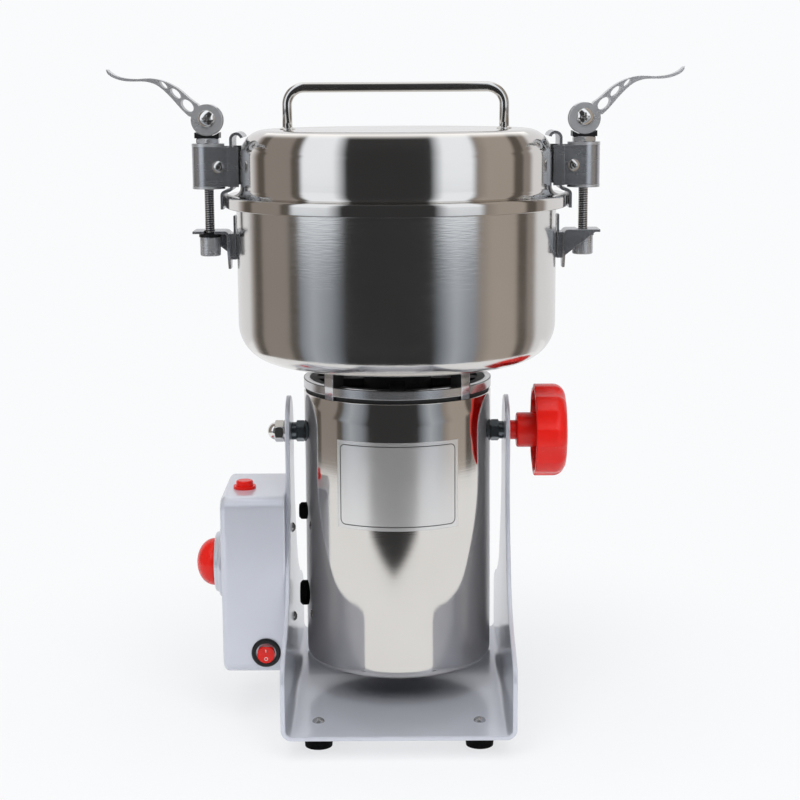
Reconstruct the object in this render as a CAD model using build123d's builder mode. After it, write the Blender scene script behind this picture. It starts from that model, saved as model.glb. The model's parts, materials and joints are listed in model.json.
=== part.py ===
"""Tilting spice grinder: a motor head with a clamped bowl, hung between two uprights.

Millimetres. The origin is on the floor under the bowl's axis, +Z is up and -Y is the front.
The left side is -X: it carries the control box. The right side carries the lock knob.
"""

import os
from math import cos, radians, sin, sqrt, tan

from build123d import *

os.makedirs("parts", exist_ok=True)

# Stand: one sheet bent into a base and two uprights
sheet = 3.0
stand_side_gap = 9.0
stand_depth = 224.0
stand_bend = 4.0
nose_radius = 24.0
flank_height = 57.0
flank_round = 12.0
foot_dia = 20.0
foot_height = 13.0
foot_taper = 1.2
foot_side_inset = 19.6
foot_end_inset = 27.5

# Flank of an upright from the nose down to its foot, as shares of half the depth and the pivot's height
flank_foot_slope_share = 0.3
flank_shares = ((0.222, 0.76), (0.315, 0.60), (0.46, 0.455), (0.65, 0.385), (0.86, 0.34))

# Shares used for rounding heads and edges
head_round_share = 0.7
dome_round_share = 0.9

# Clearances shared by pieces that fit each other
run_fit = 0.05
thread_fit = 0.1
slide_fit = 0.2
seat_gap = 0.05
move_gap = 0.3
overrun = 5.0

# Foot and box screws
foot_screw_dia = 4.0
foot_screw_head_dia = 8.0
foot_screw_head_height = 2.6
foot_screw_length = 9.0

# Motor housing and its bottom cover
housing_dia = 125.0
housing_wall = 1.5
housing_height = 184.0
housing_corner = 6.0
housing_floor_gap = 19.0
housing_mouth_inset = 14.5
cover_thickness = 2.0
cover_slot_count = 12
cover_slot_width = 4.0
cover_slot_length = 20.0

# Vent collar: the cast upper end frame of the motor
collar_lower_slot = 2.5
collar_band = 6.0
collar_upper_slot = 12.5
collar_wall = 9.0
collar_spigot = 14.0
collar_spigot_wall = 4.0
collar_post_count = 4
collar_post_width = 8.5
collar_hub_dia = 46.0
collar_hub_height = 18.0
collar_spoke_width = 10.0
collar_spoke_height = 5.0

# Motor inside the housing
shaft_dia = 12.0
shaft_lower_dia = 10.0
upper_bearing_dia = 32.0
upper_bearing_height = 10.0
lower_bearing_dia = 26.0
lower_bearing_height = 8.0
bearing_shield_inset = 0.8
bearing_race = 3.0
bracket_lift = 15.0
bracket_thickness = 8.0
bracket_ring_wall = 4.0
bracket_hub_dia = 36.0
bracket_arm_width = 12.0
stator_lift = 53.0
stator_end_room = 122.0
stator_yoke = 13.0
stator_pole_width = 44.0
air_gap = 0.6
armature_dia = 65.0
armature_slot_count = 12
armature_slot_width = 3.0
armature_slot_depth = 9.0
coil_thickness = 8.0
coil_end = 8.0
coil_depth = 9.0
commutator_dia = 32.0
commutator_height = 20.0
commutator_lift = 1.2
commutator_bar_count = 24
commutator_slit = 0.8
brush_width = 6.0
brush_height = 10.0
brush_length = 14.0
holder_wall = 1.5
holder_length = 20.0
holder_gap = 3.0
fan_side_gap = 13.0
fan_height = 18.0
fan_disc = 2.5
fan_blade_count = 10
fan_blade_thickness = 2.0
fan_hub_dia = 26.0
fan_gap = 12.0

# Bowl
bowl_dia = 210.0
bowl_height = 105.0
bowl_wall = 1.5
bowl_corner = 25.0
bowl_rim_width = 4.5
bowl_rim_thickness = 2.0
bowl_screw_dia = 5.0
bowl_screw_head_dia = 9.5
bowl_screw_head_height = 2.8
bowl_screw_length = 12.0
seal_dia = 28.0
seal_flange_dia = 36.0
seal_flange_height = 5.0

# Blades
blade_side_gap = 9.5
blade_reach_step = 16.0
blade_width = 26.0
blade_thickness = 3.0
blade_bevel = 2.0
blade_tip_width_share = 0.55
blade_tip_rise = 14.0
blade_bend_share = 0.62
blade_heel_share = 0.93
spacer_dia = 28.0
spacer_lower_height = 12.0
spacer_upper_height = 10.0
blade_nut_flats = 19.0
blade_nut_height = 9.0
blade_nut_dome = 5.0

# Lid
lid_inset = 3.0
lid_wall = 1.5
lid_height = 46.0
lid_shoulder = 17.0
lid_overhang = 2.5
lid_flange_wall = 1.8
lid_flange_height = 8.0
lid_fillet = 6.0
gasket_height = 2.2
gasket_width = 5.0
handle_rod_dia = 6.4
handle_inset = 28.0
handle_height = 30.0
handle_corner = 11.0
handle_foot_dia = 11.0
handle_foot_height = 1.5

# Tilt pivot, set below the top of the housing
pivot_drop = 29.0
pivot_dia = 8.0
pivot_nut_flats = 12.7
pivot_nut_height = 5.6
pivot_bush_dia = 12.0
pivot_stud_inset = 8.0
dome_nut_flats = 13.0
dome_nut_hex_height = 6.0
dome_nut_height = 11.0
dome_nut_wall = 2.0
washer_dia = 15.0
washer_thickness = 1.8

# Lock knob
knob_dia = 62.0
knob_depth = 21.0
knob_wall = 4.0
knob_lobe_count = 8
knob_flute_radius = 14.0
knob_flute_depth = 1.5
knob_round = 7.0
knob_face = 5.0
knob_hub_dia = 23.5
knob_hub_length = 11.6
knob_neck_dia = 13.0
knob_neck_length = 5.2
knob_stud_cover = 12.0

# Motor lead bushes on the left of the housing
lead_upper_lift = 99.7
lead_upper_dia = 11.5
lead_lower_lift = 42.0
lead_lower_dia = 17.0
lead_proud = 4.6
lead_chamfer = 1.5
lead_neck_share = 0.6

# Control box, hung below the pivot
box_drop = 37.0
box_width = 42.8
box_depth = 80.0
box_height = 120.0
box_wall = 2.0
box_back_thickness = 1.5
box_corner = 7.0
box_round = 4.0
box_screw_dia = 4.0
box_screw_head_dia = 7.0
box_screw_head_height = 2.2
box_screw_length = 11.0
box_screw_y = -5.0
box_screw_lifts = (29.0, 91.5)

# Reset button and breaker
reset_inset = 14.3
reset_y = -10.0
reset_dia = 11.4
reset_height = 5.5
reset_travel = 2.5
reset_sunk = 3.0
reset_round = 1.2
breaker_flange_dia = 15.0
breaker_flange_height = 2.0
breaker_neck_dia = 13.6
breaker_body_width = 18.0
breaker_body_depth = 16.0
breaker_body_height = 22.0

# Rocker switch
switch_offset = 13.8
switch_lift = 14.5
switch_bezel_dia = 19.4
switch_bezel_height = 2.2
switch_bezel_chamfer = 0.9
switch_barrel_dia = 17.6
switch_barrel_length = 18.0
paddle_dia = 11.6
paddle_thickness = 5.0
paddle_tilt = 9.0
paddle_proud = 1.6
paddle_well = 7.0
paddle_root_share = 0.6
paddle_axle_dia = 2.4
paddle_axle_reach = 1.5

# Timer
timer_drop = 53.7
timer_plate_dia = 48.0
timer_plate_height = 7.0
timer_plate_round = 4.0
timer_knob_dia = 32.0
timer_knob_height = 12.8
timer_knob_rim = 1.0
timer_stem_dia = 8.0
timer_body_dia = 40.0
timer_body_height = 22.0

# Clamps, one on each side
clamp_offset = 18.0
rod_dia = 6.0
rod_nut_dia = 13.6
rod_nut_height = 12.5
rod_nut_round = 1.0
rod_end = 1.5
seat_washer_dia = 14.6
seat_washer_height = 2.5
clamp_gap = 0.15
bracket_plate = 1.8
bracket_width = 22.0
bracket_overhang = 10.5
bracket_drop = 19.5
bracket_bend = 3.0
bracket_tail = 25.5
bracket_tail_width = 8.0
bracket_pad_height = 17.0
bracket_pad_width = 18.0
bracket_pad_depth = 4.2
bracket_strip_height = 11.5
bracket_strip_width = 10.0
bracket_strip_thickness = 1.4
gusset_thickness = 1.8
gusset_drop = 15.5
gusset_reach_share = 0.86
rod_slot_gap = 0.4
sleeve_dia = 18.0
sleeve_lift = 3.65
sleeve_height = 29.3
sleeve_flange = 1.8
sleeve_flange_dia = 21.4
strap_thickness = 1.5
strap_flange_inset = 14.6
strap_flange_width = 6.5
strap_pin_inset = 7.6
strap_pin_lift = 14.4
strap_pin_dia = 4.4
strap_pin_head_dia = 8.4
strap_pin_head_height = 2.2
lock_nut_flats = 14.4
lock_nut_height = 3.6
cam_seat_width = 16.0
cam_seat_depth = 14.0
cam_seat_base = 1.2
cam_seat_hollow_radius = 14.0
lid_bracket_plate = 1.8
lid_bracket_web_share = 0.5
lid_bracket_hook_drop = 9.0
lid_bracket_flare = 3.6
lid_bracket_curl_radius = 3.6
lid_bracket_rise = 3.0
lid_bracket_curl_turn = 165.0
lid_bracket_bend = 2.5

# Cam levers
lever_head_radius = 10.2
lever_eccentric = 0.8
lever_play = 0.25
lever_width = 12.0
lever_reach = 64.0
lever_rise = 32.0
lever_screw_dia = 6.0
lever_screw_head_dia = 11.6
lever_screw_head_height = 3.0
lever_tail_head_dia = 9.0
rod_eye_radius = 6.3
rod_eye_width = 6.0
lever_eye_room = 0.7

# Outline of the lever's arm, as shares of its reach and its rise
arm_top_shares = ((0.09, 0.30), (0.166, 0.41), (0.266, 0.585), (0.367, 0.71), (0.467, 0.785), (0.57, 0.815),
                  (0.67, 0.805), (0.77, 0.81), (0.87, 0.845), (0.95, 0.915))
arm_bottom_shares = ((0.99, 0.92), (0.94, 0.84), (0.87, 0.785), (0.77, 0.755), (0.67, 0.755), (0.57, 0.735),
                     (0.497, 0.68), (0.437, 0.595), (0.367, 0.46), (0.307, 0.325), (0.246, 0.185),
                     (0.176, 0.05))
arm_tip_share = (1.0, 1.0)
arm_root_share = (0.0, 0.0)

# Windows in the arm: place as shares of reach and rise, length and width as shares of the head
window_shares = ((0.191, 0.268, 0.96, 0.60), (0.307, 0.513, 0.84, 0.40), (0.427, 0.682, 0.64, 0.26))
window_turn = 43.0

# Places worked out from the sizes above
base_top = foot_height + sheet
stand_gap = housing_dia + 2 * stand_side_gap
foot_spacing_x = stand_gap - 2 * foot_side_inset
foot_spacing_y = stand_depth - 2 * foot_end_inset
stand_half = stand_gap / 2
stand_outer = stand_half + sheet
housing_radius = housing_dia / 2
housing_inner = housing_radius - housing_wall
housing_mouth_dia = housing_dia - 2 * housing_mouth_inset
housing_bottom = base_top + housing_floor_gap
housing_top = housing_bottom + housing_height
pivot_height = housing_top - pivot_drop
lead_upper_height = housing_bottom + lead_upper_lift
lead_lower_height = housing_bottom + lead_lower_lift
collar_bottom = housing_top + collar_lower_slot
collar_band_top = collar_bottom + collar_band
bowl_bottom = collar_band_top + collar_upper_slot
bowl_radius = bowl_dia / 2
bowl_floor = bowl_bottom + bowl_wall
bowl_rim = bowl_bottom + bowl_height
lid_under = bowl_rim + seat_gap + gasket_height
lid_flange_top = lid_under + lid_flange_wall
lid_skirt_bottom = lid_flange_top - lid_flange_height
lid_top = bowl_rim + lid_height
lid_radius = bowl_radius - lid_inset
lid_flange_radius = bowl_radius + bowl_rim_width + lid_overhang
handle_width = 2 * (lid_radius - handle_inset)
bracket_bottom = housing_bottom + bracket_lift
stator_bottom = housing_bottom + stator_lift
stator_height = housing_height - stator_end_room
stator_top = stator_bottom + stator_height
fan_dia = 2 * (housing_inner - fan_side_gap)
fan_bottom = stator_top + fan_gap
upper_bearing_bottom = collar_bottom - collar_hub_height / 2 + upper_bearing_height / 2
lower_bearing_bottom = bracket_bottom
seal_top = bowl_floor + seal_flange_height
blade_lower_reach = bowl_radius - bowl_wall - blade_side_gap
blade_upper_reach = blade_lower_reach - blade_reach_step
blade_lower_z = seal_top + move_gap + spacer_lower_height
blade_upper_z = blade_lower_z + blade_thickness + spacer_upper_height
blade_nut_z = blade_upper_z + blade_thickness
post_radius = housing_radius - collar_wall / 2
clamp_x = bowl_radius + clamp_offset
strap_flange_x = clamp_x - strap_flange_inset
strap_pin_x = clamp_x - strap_pin_inset
sleeve_bottom = lid_flange_top + sleeve_lift
strap_pin_height = sleeve_bottom + strap_pin_lift
sleeve_top = sleeve_bottom + sleeve_height
lock_nut_top = sleeve_top + lock_nut_height
cam_seat_low = lock_nut_top + cam_seat_base
lever_pivot_z = cam_seat_low + lever_play + lever_head_radius + lever_eccentric
bracket_reach = clamp_x + bracket_overhang
bracket_top = bowl_rim - bracket_drop
bracket_under = bracket_top - bracket_plate
washer_top = bracket_under - clamp_gap
rod_nut_top = washer_top - seat_washer_height
rod_nut_bottom = rod_nut_top - rod_nut_height
strap_radius = sleeve_dia / 2 + seat_gap + strap_thickness
box_face = stand_outer + box_width
box_top = pivot_height - box_drop
box_bottom = box_top - box_height
box_screw_heights = [box_bottom + lift for lift in box_screw_lifts]
reset_x = reset_inset - box_face
switch_x = -stand_outer - switch_offset
switch_z = box_bottom + switch_lift
timer_z = box_top - timer_drop
timer_face = box_face + timer_plate_height
paddle_axis_y = paddle_thickness - paddle_proud - box_depth / 2 - switch_bezel_height
paddle_swing = paddle_dia / 2 * cos(radians(paddle_tilt)) + paddle_thickness * sin(radians(paddle_tilt))

BASE = (Align.CENTER, Align.CENTER, Align.MIN)
TOP = (Align.CENTER, Align.CENTER, Align.MAX)
FLAT_BASE = (Align.CENTER, Align.MIN)
SIDES = {"left": -1, "right": 1}


def finish(builder, name):
    """Label a finished piece and write it under its own name."""
    builder.part.label = name
    export_step(builder.part, f"parts/{name}.step")


def corner(sketch, x, y):
    """The sketch's vertex nearest to a local point."""
    return sketch.vertices().sort_by_distance((x, y, 0))[0]


def along_x(x, y, z, side=1):
    """A plane at a point whose normal runs along X, outwards on the given side."""
    return Plane(origin=(x, y, z), x_dir=(0, side, 0), z_dir=(side, 0, 0))


def along_y(x, y, z, way=-1):
    """A plane at a point whose normal runs along Y, to the front by default."""
    return Plane(origin=(x, y, z), x_dir=(-way, 0, 0), z_dir=(0, way, 0))


# Stand
with BuildPart() as stand_bracket:
    with BuildSketch(Plane.XZ) as bent_sheet:
        with Locations((0, foot_height)):
            Rectangle(2 * stand_outer, pivot_height + nose_radius - foot_height, align=FLAT_BASE)
        fillet(bent_sheet.vertices().group_by(Axis.Y)[0], stand_bend + sheet)
        with BuildSketch(mode=Mode.SUBTRACT) as inside:
            with Locations((0, base_top)):
                Rectangle(stand_gap, pivot_height + nose_radius, align=FLAT_BASE)
            fillet(inside.vertices().group_by(Axis.Y)[0], stand_bend)
    extrude(amount=stand_depth / 2, both=True)
    with BuildSketch(Plane.YZ) as flanks:
        half_depth = stand_depth / 2
        flank = [(half_depth * y, pivot_height * z) for y, z in flank_shares]
        with BuildLine():
            Line((-half_depth, foot_height), (half_depth, foot_height))
            Line((half_depth, foot_height), (half_depth, flank_height))
            Spline((half_depth, flank_height), *flank[::-1], (nose_radius, pivot_height),
                   tangents=((-1, flank_foot_slope_share), (0, 1)))
            ThreePointArc((nose_radius, pivot_height), (0, pivot_height + nose_radius), (-nose_radius, pivot_height))
            Spline((-nose_radius, pivot_height), *[(-y, z) for y, z in flank], (-half_depth, flank_height),
                   tangents=((0, -1), (-1, -flank_foot_slope_share)))
            Line((-half_depth, flank_height), (-half_depth, foot_height))
        make_face()
        fillet((corner(flanks, half_depth, flank_height), corner(flanks, -half_depth, flank_height)), flank_round)
    extrude(amount=stand_outer + overrun, both=True, mode=Mode.INTERSECT)
    with BuildSketch(along_x(0, 0, pivot_height)):
        Circle(pivot_dia / 2 + thread_fit)
    extrude(amount=stand_outer + overrun, both=True, mode=Mode.SUBTRACT)
    with BuildSketch(Plane.XY.offset(foot_height - overrun)):
        with GridLocations(foot_spacing_x, foot_spacing_y, 2, 2):
            Circle(foot_screw_dia / 2 + thread_fit)
    extrude(amount=sheet + 2 * overrun, mode=Mode.SUBTRACT)
    for height in box_screw_heights:
        with BuildSketch(along_x(-stand_half + overrun, box_screw_y, height, -1)):
            Circle(box_screw_dia / 2 + thread_fit)
        extrude(amount=sheet + 2 * overrun, mode=Mode.SUBTRACT)
finish(stand_bracket, "stand_bracket")

with BuildPart() as rubber_feet:
    with GridLocations(foot_spacing_x, foot_spacing_y, 2, 2):
        Cone(foot_dia / 2 - foot_taper, foot_dia / 2, foot_height, align=BASE)
    with Locations((0, 0, foot_height)):
        with GridLocations(foot_spacing_x, foot_spacing_y, 2, 2):
            Cylinder(foot_screw_dia / 2 + thread_fit, foot_screw_length - sheet + thread_fit,
                     align=TOP, mode=Mode.SUBTRACT)
finish(rubber_feet, "rubber_feet")

with BuildPart() as foot_screws:
    with Locations((0, 0, base_top)):
        with GridLocations(foot_spacing_x, foot_spacing_y, 2, 2):
            Cylinder(foot_screw_head_dia / 2, foot_screw_head_height, align=BASE)
            Cylinder(foot_screw_dia / 2, foot_screw_length, align=TOP)
    fillet(foot_screws.edges().group_by(Axis.Z)[-1], foot_screw_head_height * head_round_share)
finish(foot_screws, "foot_screws")

# Control box
with BuildPart() as control_box:
    with BuildSketch(along_x(-stand_outer, 0, box_bottom + box_height / 2, -1)):
        RectangleRounded(box_depth, box_height, box_corner)
    extrude(amount=box_width)
    fillet(control_box.faces().sort_by(Axis.X)[0].edges(), box_round)
    offset(amount=-box_wall, openings=control_box.faces().sort_by(Axis.X)[-1])
    with Locations((reset_x, reset_y, box_top)):
        Cylinder(breaker_neck_dia / 2 + thread_fit, 2 * overrun, mode=Mode.SUBTRACT)
    with Locations(along_y(switch_x, -box_depth / 2, switch_z)):
        Cylinder(switch_barrel_dia / 2 + thread_fit, 2 * overrun, mode=Mode.SUBTRACT)
    with Locations(along_x(-box_face, 0, timer_z)):
        Cylinder(timer_stem_dia / 2 + move_gap, 2 * overrun, mode=Mode.SUBTRACT)
    back_inset = box_wall + seat_gap
    with BuildSketch(along_x(-stand_outer, 0, box_bottom + box_height / 2, -1)):
        RectangleRounded(box_depth - 2 * back_inset, box_height - 2 * back_inset, box_corner - back_inset)
    extrude(amount=box_back_thickness)
    for height in box_screw_heights:
        with BuildSketch(along_x(-stand_outer + overrun, box_screw_y, height, -1)):
            Circle(box_screw_dia / 2 + thread_fit)
        extrude(amount=box_back_thickness + 2 * overrun, mode=Mode.SUBTRACT)
finish(control_box, "control_box")

with BuildPart() as box_screws:
    for height in box_screw_heights:
        with Locations(along_x(-stand_half, box_screw_y, height)):
            Cylinder(box_screw_head_dia / 2, box_screw_head_height, align=BASE)
            Cylinder(box_screw_dia / 2, box_screw_length, align=TOP)
    fillet(box_screws.edges().filter_by(GeomType.CIRCLE).group_by(Axis.X)[-1], box_screw_head_height * head_round_share)
finish(box_screws, "box_screws")

with BuildPart() as breaker:
    with Locations((reset_x, reset_y, box_top)):
        Cylinder(breaker_flange_dia / 2, breaker_flange_height, align=BASE)
        Cylinder(breaker_neck_dia / 2, box_wall, align=TOP)
    with Locations((reset_x, reset_y, box_top - box_wall)):
        Box(breaker_body_width, breaker_body_depth, breaker_body_height, align=TOP)
    with Locations((reset_x, reset_y, box_top + breaker_flange_height)):
        Cylinder(reset_dia / 2 + slide_fit, breaker_flange_height + reset_sunk + reset_travel + move_gap,
                 align=TOP, mode=Mode.SUBTRACT)
finish(breaker, "breaker")

with BuildPart() as reset_button:
    with Locations((reset_x, reset_y, box_top - reset_sunk)):
        Cylinder(reset_dia / 2, reset_sunk + reset_height, align=BASE)
    fillet(reset_button.edges().group_by(Axis.Z)[-1], reset_round)
finish(reset_button, "reset_button")

with BuildPart() as switch_body:
    with Locations(along_y(switch_x, -box_depth / 2, switch_z)):
        Cylinder(switch_bezel_dia / 2, switch_bezel_height, align=BASE)
        Cylinder(switch_barrel_dia / 2, switch_barrel_length, align=TOP)
    chamfer(switch_body.edges().filter_by(GeomType.CIRCLE).group_by(Axis.Y)[0], switch_bezel_chamfer)
    with Locations(along_y(switch_x, -box_depth / 2 - switch_bezel_height, switch_z)):
        Cylinder(paddle_swing + move_gap, switch_bezel_height + paddle_well, align=TOP, mode=Mode.SUBTRACT)
    with Locations(along_x(switch_x, paddle_axis_y, switch_z)):
        Cylinder(paddle_axle_dia / 2 + run_fit, paddle_dia + 2 * (paddle_axle_reach + run_fit),
                 mode=Mode.SUBTRACT)
finish(switch_body, "switch_body")

# The round paddle rocks about X. Its two faces meet in a shallow V, and one of them lies flush at rest.
with BuildPart() as rocker_paddle:
    tilt = radians(paddle_tilt)
    outward = (0, -cos(tilt), -sin(tilt))
    with BuildSketch(Plane(origin=(switch_x, paddle_axis_y, switch_z), x_dir=outward, z_dir=(1, 0, 0))):
        half = paddle_dia / 2 + move_gap
        root = half * paddle_root_share
        with BuildLine():
            Polyline((paddle_thickness - half * tan(tilt), 0), (paddle_thickness, half), (0, root), (0, -root),
                     (paddle_thickness, -half), close=True)
        make_face()
    extrude(amount=paddle_dia / 2 + overrun, both=True)
    with Locations(Plane(origin=(switch_x, paddle_axis_y, switch_z), x_dir=(1, 0, 0), z_dir=outward)):
        Cylinder(paddle_dia / 2, 4 * paddle_thickness, mode=Mode.INTERSECT)
    with Locations(along_x(switch_x, paddle_axis_y, switch_z)):
        Cylinder(paddle_axle_dia / 2, paddle_dia + 2 * paddle_axle_reach)
finish(rocker_paddle, "rocker_paddle")

with BuildPart() as timer_body:
    with Locations(along_x(-box_face + box_wall, 0, timer_z)):
        Cylinder(timer_body_dia / 2, timer_body_height, align=BASE)
        Cylinder(timer_stem_dia / 2 + move_gap, timer_body_height, mode=Mode.SUBTRACT)
finish(timer_body, "timer_body")

with BuildPart() as timer_plate:
    with Locations(along_x(-box_face, 0, timer_z, -1)):
        Cylinder(timer_plate_dia / 2, timer_plate_height, align=BASE)
    fillet(timer_plate.edges().filter_by(GeomType.CIRCLE).group_by(Axis.X)[0], timer_plate_round)
    with Locations(along_x(-box_face, 0, timer_z, -1)):
        Cylinder(timer_stem_dia / 2 + move_gap, 3 * timer_plate_height, mode=Mode.SUBTRACT)
finish(timer_plate, "timer_plate")

with BuildPart() as timer_knob:
    knob_base = timer_face + move_gap
    with Locations(along_x(-knob_base, 0, timer_z, -1)):
        Cylinder(timer_knob_dia / 2, timer_knob_height, align=BASE)
    fillet(timer_knob.edges().filter_by(GeomType.CIRCLE).group_by(Axis.X)[0], timer_knob_height - timer_knob_rim)
    with Locations(along_x(-knob_base, 0, timer_z)):
        Cylinder(timer_stem_dia / 2, timer_plate_height + box_wall + timer_body_height / 2, align=BASE)
finish(timer_knob, "timer_knob")

# Motor housing
with BuildPart() as motor_housing:
    with BuildSketch(Plane.XZ) as can:
        with BuildLine():
            Polyline((housing_mouth_dia / 2, housing_bottom), (housing_radius, housing_bottom),
                     (housing_radius, housing_top), (housing_inner, housing_top),
                     (housing_inner, housing_bottom + housing_wall),
                     (housing_mouth_dia / 2, housing_bottom + housing_wall), close=True)
        make_face()
        fillet(corner(can, housing_radius, housing_bottom), housing_corner)
        fillet(corner(can, housing_inner, housing_bottom + housing_wall), housing_corner - housing_wall)
    revolve(axis=Axis.Z)
    with BuildSketch(along_x(0, 0, pivot_height)):
        Circle(pivot_dia / 2 + thread_fit)
    extrude(amount=housing_dia, both=True, mode=Mode.SUBTRACT)
    for height, dia in ((lead_upper_height, lead_upper_dia), (lead_lower_height, lead_lower_dia)):
        with BuildSketch(along_x(-housing_inner + overrun, 0, height, -1)):
            Circle(dia * lead_neck_share / 2 + thread_fit)
        extrude(amount=housing_wall + 2 * overrun, mode=Mode.SUBTRACT)
finish(motor_housing, "motor_housing")

with BuildPart() as lead_bushes:
    for height, dia in ((lead_upper_height, lead_upper_dia), (lead_lower_height, lead_lower_dia)):
        with Locations(along_x(-housing_radius - seat_gap, 0, height, -1)):
            Cylinder(dia / 2, lead_proud, align=BASE)
            Cylinder(dia * lead_neck_share / 2, housing_wall, align=TOP)
    chamfer(lead_bushes.edges().filter_by(GeomType.CIRCLE).group_by(Axis.X)[0], lead_chamfer)
finish(lead_bushes, "lead_bushes")

with BuildPart() as bottom_cover:
    cover_radius = housing_radius - housing_corner - move_gap
    with Locations((0, 0, housing_bottom + housing_wall)):
        Cylinder(cover_radius, cover_thickness, align=BASE)
    with BuildSketch(Plane.XY.offset(housing_bottom)):
        with PolarLocations(housing_mouth_dia / 2 - cover_slot_length, cover_slot_count):
            SlotOverall(cover_slot_length, cover_slot_width)
    extrude(amount=housing_wall + cover_thickness + overrun, mode=Mode.SUBTRACT)
finish(bottom_cover, "bottom_cover")

# Vent collar
with BuildPart() as vent_collar:
    collar_inner = housing_radius - collar_wall
    spigot_outer = housing_inner - slide_fit
    with BuildSketch(Plane.XZ):
        with BuildLine():
            Polyline((collar_inner, collar_bottom - collar_spigot), (spigot_outer, collar_bottom - collar_spigot),
                     (spigot_outer, collar_bottom), (housing_radius, collar_bottom),
                     (housing_radius, collar_band_top), (collar_inner, collar_band_top), close=True)
        make_face()
    revolve(axis=Axis.Z)
    with Locations((0, 0, collar_bottom - collar_hub_height / 2)):
        Cylinder(collar_hub_dia / 2, collar_hub_height, align=BASE)
    with Locations((0, 0, collar_bottom)):
        with PolarLocations(0, collar_post_count):
            Box(2 * collar_inner + collar_wall, collar_spoke_width, collar_spoke_height, align=BASE)
    with BuildSketch(Plane.XY.offset(housing_top)):
        Circle(housing_radius)
        Circle(collar_inner, mode=Mode.SUBTRACT)
        with BuildSketch(mode=Mode.INTERSECT):
            with PolarLocations(post_radius, collar_post_count, start_angle=180 / collar_post_count):
                Rectangle(2 * collar_wall, collar_post_width)
    extrude(amount=bowl_bottom - housing_top)
    with Locations((0, 0, upper_bearing_bottom)):
        Cylinder(upper_bearing_dia / 2 + run_fit, collar_hub_height, align=BASE, mode=Mode.SUBTRACT)
        Cylinder(shaft_dia / 2 + move_gap, 2 * collar_hub_height, mode=Mode.SUBTRACT)
    with Locations((0, 0, bowl_bottom)):
        with PolarLocations(post_radius, collar_post_count, start_angle=180 / collar_post_count):
            Cylinder(bowl_screw_dia / 2 + thread_fit, bowl_screw_length + thread_fit, align=TOP,
                     mode=Mode.SUBTRACT)
finish(vent_collar, "vent_collar")

# Motor, from the bottom up
with BuildPart() as bearing_bracket:
    ring_radius = housing_inner - slide_fit
    with BuildSketch(Plane.XY.offset(bracket_bottom)):
        Circle(ring_radius)
        Circle(ring_radius - bracket_ring_wall, mode=Mode.SUBTRACT)
        with PolarLocations(0, 2, angular_range=180):
            Rectangle(2 * ring_radius - bracket_ring_wall, bracket_arm_width)
        Circle(bracket_hub_dia / 2)
        Circle(lower_bearing_dia / 2 + run_fit, mode=Mode.SUBTRACT)
    extrude(amount=bracket_thickness)
finish(bearing_bracket, "bearing_bracket")

with BuildPart() as bearings:
    for bottom, bore, outer, height in (
            (upper_bearing_bottom, shaft_dia, upper_bearing_dia, upper_bearing_height),
            (lower_bearing_bottom, shaft_lower_dia, lower_bearing_dia, lower_bearing_height)):
        with Locations((0, 0, bottom)):
            Cylinder(outer / 2, height, align=BASE)
        for face_z, align in ((bottom, BASE), (bottom + height, TOP)):
            with BuildSketch(Plane.XY.offset(face_z)):
                Circle(outer / 2 - bearing_race)
                Circle(bore / 2 + bearing_race, mode=Mode.SUBTRACT)
            extrude(amount=bearing_shield_inset if align == BASE else -bearing_shield_inset,
                    mode=Mode.SUBTRACT)
        with Locations((0, 0, bottom)):
            Cylinder(bore / 2 + run_fit, 3 * height, mode=Mode.SUBTRACT)
finish(bearings, "bearings")

with BuildPart() as stator_core:
    stator_radius = housing_inner - slide_fit
    with BuildSketch(Plane.XY.offset(stator_bottom)):
        Circle(stator_radius)
        Circle(stator_radius - stator_yoke, mode=Mode.SUBTRACT)
        Rectangle(stator_pole_width, 2 * stator_radius - stator_yoke)
        Circle(armature_dia / 2 + air_gap, mode=Mode.SUBTRACT)
    extrude(amount=stator_height)
finish(stator_core, "stator_core")

with BuildPart() as field_coils:
    coil_inner = stator_radius - stator_yoke - coil_depth - slide_fit
    for way in (-1, 1):
        with BuildSketch(along_y(0, way * coil_inner, stator_bottom + stator_height / 2, way)):
            RectangleRounded(stator_pole_width + 2 * (slide_fit + coil_thickness),
                             stator_height + 2 * (slide_fit + coil_end), coil_thickness * head_round_share)
            Rectangle(stator_pole_width + 2 * slide_fit, stator_height + 2 * slide_fit, mode=Mode.SUBTRACT)
        extrude(amount=coil_depth)
    with Locations((0, 0, stator_bottom)):
        Cylinder(armature_dia / 2 + air_gap, 4 * stator_height, mode=Mode.SUBTRACT)
    with BuildSketch(Plane.XY.offset(stator_bottom - 2 * coil_end)):
        Circle(stator_radius - stator_yoke - slide_fit)
    extrude(amount=stator_height + 4 * coil_end, mode=Mode.INTERSECT)
finish(field_coils, "field_coils")

commutator_bottom = bracket_bottom + bracket_thickness + commutator_lift
with BuildPart() as commutator:
    with BuildSketch(Plane.XY.offset(commutator_bottom)):
        Circle(commutator_dia / 2)
        with PolarLocations(commutator_dia / 2, commutator_bar_count):
            Rectangle(commutator_slit * 2, commutator_slit, mode=Mode.SUBTRACT)
        Circle(shaft_dia / 2 + seat_gap, mode=Mode.SUBTRACT)
    extrude(amount=commutator_height)
finish(commutator, "commutator")

brush_z = commutator_bottom + commutator_height / 2
with BuildPart() as carbon_brushes:
    for side in SIDES.values():
        with BuildSketch(along_x(side * (commutator_dia / 2 + thread_fit), 0, brush_z, side)):
            Rectangle(brush_width, brush_height)
        extrude(amount=brush_length)
finish(carbon_brushes, "carbon_brushes")

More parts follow.
